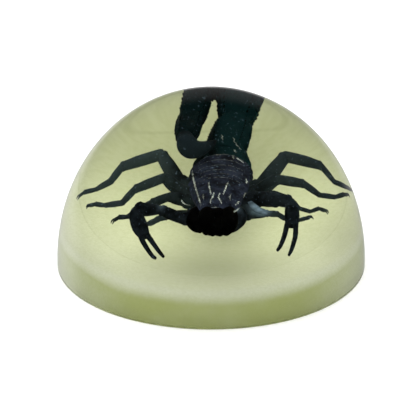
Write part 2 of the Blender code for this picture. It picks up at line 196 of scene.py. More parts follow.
PINCER_ARMS = {
    "left": (
        (-0.9, -4.4, 8.9, 2.2), (-3.3, -5.0, 8.7, 1.45), (-5.9, -4.5, 9.75, 1.3), (-8.9, -5.3, 10.3, 1.8),
    ),
    "right": ((2.4, -3.2, 9.1, 1.9), (4.9, -0.9, 9.4, 1.9), (7.6, -2.7, 10.2, 1.7), (9.3, -3.3, 10.4, 1.5)),
}
PINCER_HANDS = {
    "left": ((-8.9, -5.0, 10.5, 0.9), (-9.3, -5.9, 9.9, 1.7), (-9.1, -6.6, 9.3, 2.1),
             (-8.8, -7.7, 8.7, 2.1), (-8.4, -8.9, 8.2, 1.5)),
    "right": ((9.4, -3.1, 10.5, 0.9), (9.7, -3.8, 10.0, 1.7), (9.8, -4.6, 9.5, 1.9),
              (9.9, -5.6, 8.9, 1.9), (10.0, -6.3, 8.5, 1.5)),
}
FINGERS = {
    "left": (
        ((-8.9, -8.2, 8.4, 0.9), (-8.8, -9.4, 8.0, 0.8), (-8.3, -10.8, 7.4, 0.7), (-7.7, -12.2, 6.9, 0.6),
         (-7.3, -12.8, 6.8, 0.45)),
        ((-8.2, -7.9, 8.5, 0.9), (-7.9, -8.6, 8.1, 0.8), (-7.3, -9.5, 7.5, 0.7), (-6.7, -10.8, 7.0, 0.6),
         (-6.2, -12.2, 6.8, 0.45)),
    ),
    "right": (
        ((10.3, -5.4, 8.9, 0.9), (10.5, -6.5, 8.5, 0.8), (10.6, -7.9, 7.7, 0.75), (10.5, -10.2, 7.1, 0.65),
         (10.3, -11.8, 6.8, 0.45)),
        ((9.6, -5.2, 8.9, 0.9), (9.3, -6.3, 8.5, 0.8), (9.1, -7.6, 7.7, 0.7), (8.8, -9.3, 7.1, 0.6),
         (8.5, -10.4, 6.9, 0.45)),
    ),
}
PINCER_SIDES = 28
FINGER_SIDES = 16
HAND_HEIGHT_SHARE = 0.85
FINGER_WIDTH_SHARE = 0.9
TOOTH_LINE = 0.42
TOOTH_GAP = 2.6
HAND_GRAIN_FRONT = -9.0

CHELICERAE = {
    "left": ((0.0, -4.0, 9.4, 1.8), (-0.4, -5.6, 9.4, 2.3), (-0.3, -7.2, 9.0, 2.3), (0.1, -8.3, 8.6, 1.4)),
    "right": ((1.8, -4.0, 9.4, 1.8), (2.1, -5.6, 9.4, 2.3), (2.0, -7.2, 9.0, 2.3), (1.6, -8.3, 8.6, 1.4)),
}
MOUTH_COXAE = {
    "left": ((-0.3, -2.8, 8.9, 1.9), (-1.7, -4.5, 8.75, 2.5), (-1.9, -5.6, 8.65, 2.1),
             (-1.5, -6.8, 8.55, 1.7), (-1.3, -7.6, 8.4, 0.7)),
    "right": ((2.1, -2.8, 8.9, 1.9), (2.9, -4.2, 8.8, 2.6), (2.5, -5.7, 8.7, 2.5),
              (2.2, -6.9, 8.6, 1.8), (2.0, -7.6, 8.5, 0.8)),
}
# The lip between the mouth claws, and the blunt teeth along their front: (x, y) of each, in mm.
MOUTH_LIP = ((0.85, -4.4, 9.3, 1.5), (0.85, -5.7, 9.6, 2.0), (0.85, -6.5, 9.2, 1.9), (0.85, -7.6, 8.8, 1.9),
             (0.85, -8.4, 8.4, 1.1))
MOUTH_TEETH = {
    "left": ((-1.35, -7.65), (-0.6, -8.3), (0.2, -8.6)),
    "right": ((1.1, -8.65), (1.9, -8.45)),
}
# A tooth from its root to its tip: (distance behind the tip, z, thickness), in mm.
MOUTH_TOOTH_FORM = ((1.7, 8.8, 1.0), (0.6, 8.5, 1.1), (0.25, 8.35, 0.9), (0.0, 8.2, 0.4))
MOUTH_SIDES = 24
MOUTH_TOOTH_SIDES = 12
MOUTH_BULGE = 0.05
MOUTH_BULGES = 9.0

# The five segments of the tail by their joints, then the sting: (x, y, z, thickness), in mm.
TAIL = (
    (1.25, 7.6, 9.7, 3.9), (2.0, 12.1, 10.0, 3.25), (2.3, 15.7, 10.2, 3.2), (-0.55, 14.65, 10.4, 1.7),
    (-1.65, 11.4, 11.05, 2.35), (-2.6, 6.7, 12.5, 2.15),
)
TAIL_HEIGHT_SHARE = 0.85
STING = (
    (-2.6, 6.9, 12.5, 1.6), (-2.5, 6.1, 12.55, 1.9), (-2.4, 5.3, 12.6, 2.25), (-2.1, 4.85, 12.5, 2.3),
    (-1.5, 4.95, 12.3, 2.0), (-1.0, 5.4, 12.1, 1.6), (-0.4, 6.05, 11.95, 1.1), (0.1, 6.7, 11.8, 0.7),
    (0.4, 7.3, 11.7, 0.3),
)
TAIL_SIDES = 48
STING_SIDES = 24
TAIL_LEAST_WEAR = 0.25
TAIL_GRAIN = (0.25, 0.75)
# The sting's wear towards its front: (most, y where it starts, over which length), in mm.
STING_WEAR = (0.8, 6.9, 1.5)

# How a segment of a limb swells: (share of its length, shift in thicknesses, size).
SEGMENT_FORM = (
    (0.0, -0.30, 0.40), (0.0, -0.20, 0.70), (0.0, -0.02, 0.86), (0.0, 0.25, 0.88), (0.35, 0.0, 0.99),
    (0.6, 0.0, 1.06), (0.8, 0.0, 1.02), (1.0, -0.36, 1.04), (1.0, -0.10, 1.12), (1.0, 0.05, 1.0),
    (1.0, 0.18, 0.70), (1.0, 0.25, 0.40),
)
# How a segment of the tail swells between its waists: (share of its length, size).
TAIL_FORM = (
    (0.0, 0.82), (0.05, 0.86), (0.12, 0.91), (0.22, 0.96), (0.35, 1.0), (0.5, 1.01), (0.65, 1.0),
    (0.78, 0.98), (0.88, 0.94), (0.95, 0.88),
)
# Ridges round a section: (angle from its right side, spread, both in degrees; height share).
TAIL_KEELS = (
    (8, 7, 0.05), (52, 7, 0.07), (128, 7, 0.07), (172, 7, 0.05), (215, 7, 0.05), (252, 7, 0.05),
    (288, 7, 0.05), (325, 7, 0.05),
)
TAIL_GROOVE = (90, 22, -0.07)
LIMB_RIDGES = ((90, 16, 0.07), (270, 16, 0.05), (0, 25, -0.04))
HAND_RIDGES = [(angle, 9, 0.05) for angle in (30, 75, 110, 150, 230, 300)]
MOST_MITRE = 1.6

# Smooth crests on the carapace and the back plates, painted bright as glints: (x, y) points on their
# surface, in mm.
CRESTS = (
    ((-1.97, 3.86), (-1.92, 1.95), (-1.68, -0.81), (-1.38, -3.2), (-1.15, -4.9)),
    ((3.78, 1.6), (3.84, 1.1), (3.89, 0.67)),
    ((-0.26, -0.03), (-0.20, -1.44), (0.02, -3.08)),
    ((1.89, -0.02), (1.63, -1.67), (1.37, -3.07)),
    ((0.33, -2.47), (0.22, -3.35), (-0.07, -4.3), (-0.04, -5.0)),
    ((0.99, -2.72), (0.84, -3.50), (1.15, -4.3), (1.22, -5.0)),
    ((2.5, 5.3), (2.95, 5.0), (3.36, 4.6)),
)
# Fainter painted glints beside them, on the last plates and on the root of the tail.
FAINT_CRESTS = (
    ((3.86, -1.0), (3.72, -2.4)),
    ((-0.93, -2.61), (-0.86, -3.9)),
    ((2.28, -2.65), (2.18, -3.3), (2.24, -4.3)),
    ((0.04, -5.35), (0.55, -5.28), (1.06, -5.35)),
    ((1.0, 8.9), (1.08, 8.0)),
    ((2.08, 8.5), (2.2, 8.0), (2.98, 7.1)),
    ((2.19, 6.9), (2.54, 6.1)),
    ((2.18, 5.7), (2.26, 4.88)),
    ((0.42, 5.75), (1.23, 5.8)),
)
CREST_WIDTH = 0.125
LIP_WIDTH = 0.12
FAINT_SHARE = 0.28
CREST_SIDES = 6
CREST_STEP = 0.16
CREST_WANDER = 0.08
CREST_HEIGHT_SHARE = 0.8
CREST_WAVE = 2.3
CREST_PULSE = 1.7
CREST_SWELL = 0.25
# What the crests and films lie on, by the start of the pieces' names.
CREST_BEARERS = ("scorpion_trunk", "scorpion_tail", "mouth", "leg", "pincer_left", "pincer_right")
LEAST_CREST = 9.95 * MM

# Painted glints along the edges of the air films beside the head: (x, y) points on whatever lies below
# them, in mm.
FILM_EDGE_GLINTS = (
    ((-3.40, -2.3), (-3.15, -3.15), (-2.75, -3.6), (-2.3, -3.6)),
    ((3.24, -3.4), (3.05, -4.0), (2.83, -4.7)),
    ((3.29, -4.5), (3.0, -5.3), (2.68, -6.3)),
)

# Painted shade on the glow layer: the scorpion's shadow in front of its head, shade on the right side and a
# darker patch at the back: (x, y, radius across, radius along, depth), in mm.
PAINTED_SHADE = (
    (0.5, -12.0, 15.0, 12.5, 0.52),
    (16.0, -2.0, 10.0, 12.0, 0.20),
    (0.0, 14.0, 18.0, 12.0, 0.16),
)
# The faint line where the first pour ended: (x, y, radius across, radius along), in mm.
POUR_RING = (0.3, 1.0, 14.1, 16.0)

# A film's painted sheen shows where the shell looks up, and less so where it looks forwards.
FILM_LIFT = 0.3
FILM_FRONT = 0.4
# Films of air between shell and resin, their pale blue sheen painted on: (x, y, z, radius, strength) of
# their spots, in mm.
ARM_FILM = ((-6.0, -4.6, 10.3, 0.5, 0.25),)
LEG_FILM = ((5.1, -3.3, 9.2, 0.7, 0.5), (6.0, -3.4, 9.0, 0.8, 0.7))
MOUTH_FILM = ((2.5, -4.8, 10.0, 0.7, 0.55),)
LOOSE_FILM_SPOTS = (
    (4.5, -2.4, 9.8, 0.6, 0.45), (5.1, -3.3, 9.6, 0.6, 0.95), (5.6, -3.8, 9.4, 0.6, 0.95),
    (6.2, -4.2, 9.2, 0.5, 0.7),
)
# The loose film between the right arm and the first leg, a thin sheet with a painted sheen, along its
# middle: (x, y, z, width), in mm.
LOOSE_FILM = (
    (3.95, -1.6, 9.95, 0.15), (4.55, -2.7, 9.75, 0.7), (5.15, -3.5, 9.5, 1.1), (5.8, -4.0, 9.3, 1.1),
    (6.7, -4.2, 9.05, 0.5),
)
LOOSE_FILM_SIDES = 12
LOOSE_FILM_HEIGHT_SHARE = 0.2

# Finishes of the shell: the colour each takes, its share of pale flecks and how fine its pits are.
SHELL_FINISHES = {
    "trunk_shell": ("trunk_shell", 0.5, 5200.0),
    "mouth_shell": ("mouth_shell", 0.02, 4200.0),
    "mouth_base_shell": ("pincer_shell", 0.2, 4200.0),
    "pincer_shell": ("pincer_shell", 0.25, 4600.0),
    "leg_shell": ("leg_shell", 0.35, 5000.0),
    "tail_shell": ("tail_shell", 0.3, 4200.0),
    "sting_shell": ("sting_shell", 0.2, 4200.0),
    "film_shell": ("pincer_shell", 0.2, 4600.0),
    "bristle_shell": ("leg_shell", 0.1, 5000.0),
}
# How many times paler a worn shell is.
WORN_SHARE = 4.0
SHELL_SHINE = 0.002

# How fine the clouds and specks of each finish are, as the scale of its noise.
RESIN_WAVES = 150.0
RESIN_HAZE = 420.0
GLOW_CLOUDS = 160.0
GLOW_SPECKS = 2600.0
SHELL_CLOUDS = 650.0
SHELL_FLECKS = 3100.0
CREST_WEAR = 1500.0
CARD_CLOUDS = 900.0
RESIN_IOR = 1.5
# The glow layer's side is olive below this height, and painted paler between these distances to left and
# right, as light on its side walls.
OLIVE_HEIGHT = 3.3 * MM
LIT_SIDES = (12 * MM, 23 * MM)
# Share of olive inside the pour ring and on its line, and the line's width as a share of the ring.
POUR_INSIDE = 0.05
POUR_LINE = 0.16
POUR_LINE_WIDTH = 0.012

FLOOR_DROP = 0.02 * MM
CARD_TONES = (0.88, 0.92)
# Where each thing that the dome mirrors begins and is full, by how far a way points up or back.
LAMP_UP = (0.72, 0.9)
WALL_BACK = (0.8, 0.95)
TABLE_DOWN = (-0.2, -0.02)
TABLE_BACK = (0.25, 0.6)
OVERHEAD_FOCUS = 1.5
# The photograph's width and the place in it of the block's middle, in pixels.
PHOTO_WIDTH = 416
PHOTO_MIDDLE = (211.1, 203.1)
SENSOR_WIDTH = 36
NEAREST_SIGHT = 0.01
MOST_BOUNCES = 16
MOST_PASSES_THROUGH = 12

# Angles between faces, in degrees, past which an edge is sharp.
SHELL_CREASE = 50
DOME_CREASE = 40

# Pieces too slight to shade the glow layer, by the start of their names.
SHADOWLESS = (
    "mouth", "pincer", "leg", "plate", "trunk_", "faint_crests", "tail_", "loose_film", "scorpion_bristles",
)


def length(name, default, about):
    """A setting in metres."""
    return bpy.props.FloatProperty(name=name, description=about, default=default, unit="LENGTH")


def amount(name, default, about):
    """A plain setting, never below 0."""
    return bpy.props.FloatProperty(name=name, description=about, default=default, min=0)


def tone(name, default, about):
    """A setting that is a colour."""
    return bpy.props.FloatVectorProperty(
        name=name, description=about, default=default, subtype="COLOR", size=3, min=0, max=1
    )


class BlockSizes(bpy.types.PropertyGroup):
    """Sizes of the resin, by default those of the frame."""

    radius: length("Radius", DOME_RADIUS, "Radius of the dome at its foot")
    height: length("Height", DOME_HEIGHT, "Height of the dome")
    foot_band: length("Foot Band", 0.8 * MM, "Upright band at the dome's foot")
    glow_height: length("Glow Height", GLOW_HEIGHT, "Height of the glow layer's flat top")
    glow_wall: length("Glow Wall", GLOW_WALL, "Radius of the glow layer's side")
    glow_flat: length("Glow Flat", 19.8 * MM, "Radius of the glow layer's flat top")
    glow_foot: length("Glow Foot", 1.2 * MM, "Height where the shoulder starts")
    bond: length("Bond", 0.15 * MM, "How far the clear resin sinks into the glow layer")
    segments: bpy.props.IntProperty(
        name="Segments", description="Flat sides round the dome", default=192, min=24, max=512
    )


class SpecimenDetail(bpy.types.PropertyGroup):
    """Sizes of the small repeats on the specimen."""

    grain_size: length("Grain Size", 0.055 * MM, "Radius of a grain on the shell")
    grain_spacing: length("Grain Spacing", 0.27 * MM, "Mean distance between grains")
    keel_bead: length("Keel Bead", 0.09 * MM, "Radius of a bead on a keel")
    keel_spacing: length("Keel Spacing", 0.3 * MM, "Distance between the beads of a keel")
    tooth_size: length("Tooth Size", 0.07 * MM, "Radius of a tooth on a finger")
    bristle_length: length("Bristle Length", 0.24 * MM, "Length of a bristle")
    bristle_spacing: length("Bristle Spacing", 0.85 * MM, "Mean distance between bristles")


class Finishes(bpy.types.PropertyGroup):
    """Colours of the resin, the glow layer and the shell of the specimen."""

    resin_tint: tone("Resin Tint", (0.95, 0.96, 0.78), "Colour that thick resin takes on")
    resin_density: amount("Resin Density", 50.0, "How fast the tint builds up with depth")
    glow_cream: tone("Glow Cream", (0.72, 0.75, 0.64), "Top of the glow layer")
    glow_olive: tone("Glow Olive", (0.36, 0.405, 0.135), "Settled pigment low on its side")
    trunk_shell: tone("Trunk Shell", (0.011, 0.0135, 0.028), "Carapace and back plates")
    tail_shell: tone("Tail Shell", (0.0006, 0.0028, 0.0040), "Tail")
    sting_shell: tone("Sting Shell", (0.0023, 0.0038, 0.0060), "Sting")
    leg_shell: tone("Leg Shell", (0.007, 0.010, 0.0135), "Walking legs")
    pincer_shell: tone("Pincer Shell", (0.0045, 0.0062, 0.0095), "Pincers and their arms")
    mouth_shell: tone("Mouth Shell", (0.0003, 0.0003, 0.0004), "Mouth claws")
    # Pale blue of random flecks, and the painted sheen of air films.
    air_film: tone("Air Film", (0.17, 0.245, 0.39), "Thin air between shell and resin")
    # Painted glint on the crests.
    crest: tone("Crest", (0.60, 0.68, 0.75), "Bright smooth crests of the carapace")
    plate_lip: tone("Plate Lip", (0.05, 0.07, 0.105), "Raised hind edges of the back plates")


class StageSettings(bpy.types.PropertyGroup):
    """Camera, floor and light."""

    camera_distance: length("Camera Distance", 0.45, "From the camera to what it looks at")
    camera_elevation: bpy.props.FloatProperty(
        name="Camera Elevation", description="Above the horizon", unit="ROTATION",
        default=math.radians(23.97),
    )
    aim_height: length("Aim Height", 10 * MM, "Height that the camera looks at")
    focal_pixels: amount("Scale", 6414.0, "Pixels that a metre takes in the photograph at the aim")
    floor_size: length("Floor Size", 4.0, "Side of the floor")
    ambient: amount("Ambient", 1.1, "Light from everywhere")
    overhead: amount("Overhead", 0.35, "Light from straight above")
    front: amount("Front", 0.3, "Light from the camera's side")
    behind: amount("Behind", 1.1, "Light from behind the block")
    left: amount("Left", 0.6, "Light from the left")
    gloss: amount("Gloss", 0.004, "Light that the dome mirrors from everywhere")
    gloss_overhead: amount("Overhead Gloss", 0.01, "Lamp above that the dome mirrors")
    gloss_behind: amount("Back Gloss", 0.1, "Wall behind that the dome's top mirrors")
    gloss_rim: amount("Rim Gloss", 0.45, "Pale table behind that the dome's rim mirrors")
    gloss_lean: amount("Rim Lean", 0.4, "How much brighter the left rim is than the right")


PROPERTY_GROUPS = {
    "resin_block_sizes": BlockSizes,
    "resin_block_detail": SpecimenDetail,
    "resin_block_finishes": Finishes,
    "resin_block_stage": StageSettings,
}


# ---------------- node trees and materials


class NodeMaker:
    """Adds nodes to a tree and joins them, left to right."""

    def __init__(self, tree):
        self.tree = tree

    def feed(self, socket, value):
        """Joins an output to the socket, or sets its value."""
        if isinstance(value, bpy.types.NodeSocket):
            self.tree.links.new(value, socket)
        else:
            socket.default_value = value

    def fill(self, node, **inputs):
        """Feeds the node's inputs by name, each a value or another node's output."""
        for name, value in inputs.items():
            self.feed(node.inputs[name.replace("_", " ")], value)
        return node

    def add(self, kind, settings=None, **inputs):
        """A node with its settings and inputs."""
        node = self.tree.nodes.new(kind)
        for name, value in (settings or {}).items():
            setattr(node, name, value)
        return self.fill(node, **inputs)

    def math(self, operation, first, second=0.0):
        """The result of one sum."""
        node = self.add("ShaderNodeMath", {"operation": operation})
        self.feed(node.inputs[0], first)
        self.feed(node.inputs[1], second)
        return node.outputs[0]

    def mix(self, share, first, second):
        """A colour between two colours."""
        node = self.add("ShaderNodeMix", {"data_type": "RGBA"}, Factor=share)
        self.feed(node.inputs[6], first)
        self.feed(node.inputs[7], second)
        return node.outputs[2]

    def spread(self, value, old, new):
        """A value taken from its old range to a new one, smoothly."""
        node = self.add("ShaderNodeMapRange", {"interpolation_type": "SMOOTHSTEP"}, Value=value)
        self.fill(node, From_Min=old[0], From_Max=old[1], To_Min=new[0], To_Max=new[1])
        return node.outputs["Result"]

    def noise(self, place, scale, detail, roughness=0.5):
        """Clouds from 0 to 1."""
        node = self.add("ShaderNodeTexNoise", Vector=place, Scale=scale, Detail=detail, Roughness=roughness)
        return node.outputs["Fac"]

    def bump(self, height, strength, distance):
        """The normal of a surface roughened by a height."""
        node = self.add("ShaderNodeBump", Height=height, Strength=strength, Distance=distance)
        return node.outputs["Normal"]

    def painted(self, name):
        """What is painted on the mesh under this name."""
        return self.add("ShaderNodeAttribute", {"attribute_name": name}).outputs["Fac"]

    def reach(self, place, centre, radii):
        """How far out a place lies from a centre in plan: 1 on the ellipse with these radii."""
        moved = self.add(
            "ShaderNodeMapping", {"vector_type": "TEXTURE"}, Vector=place,
            Location=(*(value * MM for value in centre), 0), Scale=(*(value * MM for value in radii), 1),
        )
        away = self.add("ShaderNodeVectorMath", {"operation": "LENGTH"}, Vector=moved.outputs[0])
        return away.outputs["Value"]


def rgba(colour, share=1.0):
    """A colour with alpha, made lighter or darker by a share."""
    return (*(min(1.0, part * share) for part in colour), 1.0)


def fresh_material(name):
    """A material with its node maker, its shader and the object's own coordinates."""
    finish = bpy.data.materials.new(name)
    finish.use_nodes = True
    make = NodeMaker(finish.node_tree)
    shader = finish.node_tree.nodes["Principled BSDF"]
    return finish, make, shader, make.add("ShaderNodeTexCoord").outputs["Object"]


def resin_finish(colours):
    """Clear casting resin: a trace of yellow in its depth and faint polishing waves on its skin."""
    finish, make, shader, place = fresh_material("clear_casting_resin")
    waves = make.noise(place, RESIN_WAVES, 1.0)
    haze = make.noise(place, RESIN_HAZE, 3.0)
    make.fill(
        shader, Base_Color=(1, 1, 1, 1), Transmission_Weight=1.0, IOR=RESIN_IOR,
        Normal=make.bump(waves, 0.06, 0.05 * MM), Roughness=make.spread(haze, (0.45, 0.8), (0.0, 0.02)),
    )
    absorption = make.add(
        "ShaderNodeVolumeAbsorption", Color=rgba(colours.resin_tint), Density=colours.resin_density
    )
    make.fill(finish.node_tree.nodes["Material Output"], Volume=absorption.outputs["Volume"])
    return finish


def glow_finish(colours, sizes):
    """Opaque glow resin: cream on top, darker where its pigment has settled at the side, with painted light
    on its side walls and painted shade on its top.
    """
    finish, make, shader, place = fresh_material("glow_pigment_resin")
    olive = colours.glow_olive
    spot = make.add("ShaderNodeSeparateXYZ", Vector=place).outputs
    cloud = make.noise(place, GLOW_CLOUDS, 4.0, 0.55)
    specks = make.noise(place, GLOW_SPECKS, 2.0)
    settled = make.math("ADD", spot["Z"], make.math("MULTIPLY", cloud, 0.3 * MM))
    low = make.spread(settled, (OLIVE_HEIGHT, sizes.glow_height), (0.0, 1.0))
    # Painted light: the olive side walls turn paler towards the left and right.
    side_light = make.spread(make.math("ABSOLUTE", spot["X"]), LIT_SIDES, (0.0, 0.55))
    body = make.mix(make.math("MAXIMUM", low, side_light), rgba(olive), rgba(colours.glow_cream))
    mottle = make.spread(cloud, (0.3, 0.75), (0.08, 0.2))
    body = make.mix(mottle, body, rgba(colours.glow_cream, 0.93))
    # Painted shade: darker olive patches for the scorpion's shadow in front of its head, the shaded right
    # side and a darker patch at the back.
    for x, y, across, along, depth in PAINTED_SHADE:
        thin = make.spread(make.reach(place, (x, y), (across, along)), (0.0, 1.0), (depth, 0.0))
        body = make.mix(thin, body, rgba(olive, 0.12))
    *centre, across, along = POUR_RING
    ring = make.reach(place, centre, (across, along))
    inside = make.spread(ring, (0.985, 1.0), (POUR_INSIDE, 0.0))
    off_line = make.math("ABSOLUTE", make.math("SUBTRACT", ring, 1.0))
    line = make.spread(off_line, (0.0, POUR_LINE_WIDTH), (POUR_LINE, 0.0))
    body = make.mix(make.math("ADD", inside, line), body, rgba(olive, 0.5))
    body = make.mix(make.spread(specks, (0.35, 0.7), (0.0, 0.12)), body, rgba(olive, 0.85))
    make.fill(
        shader, Base_Color=body, Roughness=make.spread(specks, (0.3, 0.7), (0.5, 0.65)),
        Normal=make.bump(specks, 0.2, 0.02 * MM), Specular_IOR_Level=0.1,
    )
    return finish


def shell_finish(colours, name):
    """Dried black shell: cloudy, finely pitted, paler where worn, with a painted pale blue sheen where a
    film of air lies on it.
    """
    finish, make, shader, place = fresh_material(name)
    colour_name, pale_share, pit_scale = SHELL_FINISHES[name]
    colour = getattr(colours, colour_name)
    cloud = make.noise(place, SHELL_CLOUDS, 5.0, 0.6)
    pits = make.add("ShaderNodeTexVoronoi", Vector=place, Scale=pit_scale).outputs["Distance"]
    flecks = make.noise(place, SHELL_FLECKS, 2.0)
    body = make.mix(make.spread(cloud, (0.35, 0.65), (0.0, 1.0)), rgba(colour, 0.4), rgba(colour, 1.7))
    body = make.mix(make.painted("worn"), body, rgba(colour, WORN_SHARE))
    pale = make.spread(flecks, (0.62, 0.75), (0.0, pale_share))
    body = make.mix(pale, body, rgba(colours.air_film, 0.7))
    # Painted sheen: pale blue where an air film lies on the shell, in cloudy patches.
    film_sheen_share = make.math("MULTIPLY", make.painted("film"), make.spread(cloud, (0.25, 0.6), (0.35, 1.0)))
    body = make.mix(film_sheen_share, body, rgba(colours.air_film))
    relief = make.math("ADD", pits, make.math("MULTIPLY", cloud, 0.6))
    make.fill(
        shader, Base_Color=body, Roughness=make.spread(cloud, (0.3, 0.7), (0.38, 0.6)),
        Normal=make.bump(relief, 0.5, 0.04 * MM), Specular_IOR_Level=SHELL_SHINE,
    )
    return finish


def crest_finish(name, colour, strength=1.0):
    """Smooth ribs in a pale colour, broken by darker wear; on the crests this pale colour is a painted
    glint.
    """
    finish, make, shader, place = fresh_material(name)
    wear = make.noise(place, CREST_WEAR, 3.0)
    whole = make.spread(wear, (0.38, 0.6), (0.0, 1.0))
    make.fill(
        shader, Base_Color=make.mix(whole, rgba(colour, 0.2 * strength), rgba(colour, strength)),
        Roughness=make.spread(wear, (0.3, 0.7), (0.25, 0.5)),
    )
    return finish


class TreeMaker(NodeMaker):
    """A Geometry Nodes tree with named inputs, which ends in real geometry with a material."""

    def __init__(self, name, **inputs):
        super().__init__(bpy.data.node_groups.new(name, "GeometryNodeTree"))
        self.socket("Geometry", "Geometry")
        for label, default in inputs.items():
            kind = "Int" if isinstance(default, int) else "Float"
            self.socket(label.replace("_", " "), kind).default_value = default
        self.socket("Material", "Material")
        self.socket("Geometry", "Geometry", "OUTPUT")
        self.given = self.tree.nodes.new("NodeGroupInput").outputs

    def socket(self, label, kind, side="INPUT"):
        """A socket of the tree itself."""
        return self.tree.interface.new_socket(label, in_out=side, socket_type=f"NodeSocket{kind}")

    def random(self, low, high, seed):
        """A random number for each element."""
        node = self.add("FunctionNodeRandomValue", {"data_type": "FLOAT"}, Seed=seed)
        self.feed(node.inputs[2], low)
        self.feed(node.inputs[3], high)
        return node.outputs[1]

    def scattered(self, where):
        """Points over the given surface, denser where this attribute of it is high."""
        share = self.add("GeometryNodeInputNamedAttribute", {"data_type": "FLOAT"}, Name=where).outputs[0]
        return self.add(
            "GeometryNodeDistributePointsOnFaces", Mesh=self.given["Geometry"], Seed=self.given["Seed"],
            Density=self.math("MULTIPLY", self.given["Density"], share),
        ).outputs

    def finish(self, geometry):
        """Real geometry, shaded smooth, in the given material."""
        real = self.add("GeometryNodeRealizeInstances", Geometry=geometry)
        smooth = self.add("GeometryNodeSetShadeSmooth", Geometry=real.outputs[0])
        painted = self.add(
            "GeometryNodeSetMaterial", Geometry=smooth.outputs[0], Material=self.given["Material"]
        )
        self.add("NodeGroupOutput", Geometry=painted.outputs[0])
        return self.tree

    def set_on(self, points, mesh, **placing):
        """The mesh on each point, as the tree's result."""
        instances = self.add(
            "GeometryNodeInstanceOnPoints", Points=points, Instance=mesh.outputs["Mesh"], **placing
        )
        return self.finish(instances.outputs[0])


def turned_tree(name):
    """Turns an outline of (radius, height) points, given as a mesh in the XZ plane, about the Z axis."""
    make = TreeMaker(name, Segments=192, Weld=1e-7)
    outline = make.given["Geometry"]
    segments = make.given["Segments"]
    count = make.add("GeometryNodeAttributeDomainSize", Geometry=outline).outputs["Point Count"]
    grid = make.add("GeometryNodeMeshGrid", Vertices_X=make.math("ADD", segments, 1.0), Vertices_Y=count)
    index = make.add("GeometryNodeInputIndex").outputs[0]
    column = make.math("FLOOR", make.math("DIVIDE", make.math("ADD", index, 0.5), count))
    sample = make.add(
        "GeometryNodeSampleIndex", {"data_type": "FLOAT_VECTOR"}, Geometry=outline,
        Value=make.add("GeometryNodeInputPosition").outputs[0], Index=make.math("MODULO", index, count),
    )
    radius, _, height = make.add("ShaderNodeSeparateXYZ", Vector=sample.outputs[0]).outputs
    turn = make.math("MULTIPLY", make.math("DIVIDE", column, segments), 2 * math.pi)
    across = make.math("MULTIPLY", radius, make.math("COSINE", turn))
    along = make.math("MULTIPLY", radius, make.math("SINE", turn))
    point = make.add("ShaderNodeCombineXYZ", X=across, Y=along, Z=height)
    moved = make.add("GeometryNodeSetPosition", Geometry=grid.outputs["Mesh"], Position=point.outputs[0])
    welded = make.add(
        "GeometryNodeMergeByDistance", Geometry=moved.outputs[0], Distance=make.given["Weld"]
    )
    return make.finish(welded.outputs[0])


def grain_tree(name):
    """Scatters low grains over a surface, denser where its "grain" attribute is high."""
    make = TreeMaker(name, Grain_Size=0.05 * MM, Density=1e7, Seed=3)
    points = make.scattered("grain")
    grain = make.add("GeometryNodeMeshIcoSphere", Radius=make.given["Grain Size"], Subdivisions=1)
    size = make.random(0.5, 1.25, make.given["Seed"])
    return make.set_on(points["Points"], grain, Rotation=points["Rotation"], Scale=size)


def bead_tree(name):
    """Sets beads along the lines of a mesh of edges, as on a keel or the inside of a finger."""
    make = TreeMaker(name, Bead_Size=0.1 * MM, Spacing=0.3 * MM, Seed=5)
    line = make.add("GeometryNodeMeshToCurve", Mesh=make.given["Geometry"])
    spaced = make.add(
        "GeometryNodeResampleCurve", {"mode": "LENGTH"}, Curve=line.outputs[0],
        Length=make.given["Spacing"],
    )
    bead = make.add("GeometryNodeMeshIcoSphere", Radius=make.given["Bead Size"], Subdivisions=2)
    return make.set_on(spaced.outputs[0], bead, Scale=make.random(0.6, 1.15, make.given["Seed"]))


def bristle_tree(name):
    """Stands fine bristles on a surface, each leaning its own way."""
    make = TreeMaker(name, Length=0.4 * MM, Density=1e6, Seed=7)
    points = make.scattered("hairy")
    reach = make.given["Length"]
    bristle = make.add(
        "GeometryNodeMeshCone", Vertices=5, Side_Segments=2, Depth=reach,
        Radius_Bottom=make.math("MULTIPLY", reach, 0.06),
    )
    lean = make.add("ShaderNodeCombineXYZ", X=make.random(-0.7, 0.7, 11), Y=make.random(-0.7, 0.7, 12))
    leaning = make.add("FunctionNodeEulerToRotation", Euler=lean.outputs[0])
    leant = make.add(
        "FunctionNodeRotateRotation", {"rotation_space": "LOCAL"}, Rotation=points["Rotation"],
        Rotate_By=leaning.outputs[0],
    )
    size = make.random(0.5, 1.1, make.given["Seed"])
    return make.set_on(points["Points"], bristle, Rotation=leant.outputs[0], Scale=size)


TREES = {"turned": turned_tree, "grains": grain_tree, "beads": bead_tree, "bristles": bristle_tree}


# ---------------- shared shapes


def placed(name, data):
    """An object with the data, in the scene."""
    made = bpy.data.objects.new(name, data)
    bpy.context.scene.collection.objects.link(made)
    return made


def grown(name, source, tree_name, **values):
    """A plain mesh object that a tree makes from a source mesh; each tree is made once."""
    full_name = f"resin_block_{tree_name}"
    holder = placed(name, source)
    modifier = holder.modifiers.new(tree_name, "NODES")
    modifier.node_group = bpy.data.node_groups.get(full_name) or TREES[tree_name](full_name)
    for item in modifier.node_group.interface.items_tree:
        wanted = item.name.lower().replace(" ", "_")
        if item.item_type == "SOCKET" and item.in_out == "INPUT" and wanted in values:
            modifier[item.identifier] = values[wanted]
    graph = bpy.context.evaluated_depsgraph_get()
    mesh = bpy.data.meshes.new_from_object(holder.evaluated_get(graph))
    mesh.materials.clear()
    mesh.materials.append(values["material"])
    mesh.polygons.foreach_set("material_index", [0] * len(mesh.polygons))
    holder.modifiers.clear()
    holder.data = mesh
    mesh.name = name
    if not mesh.polygons:
        raise RuntimeError(f"{name} came out empty")
    return holder


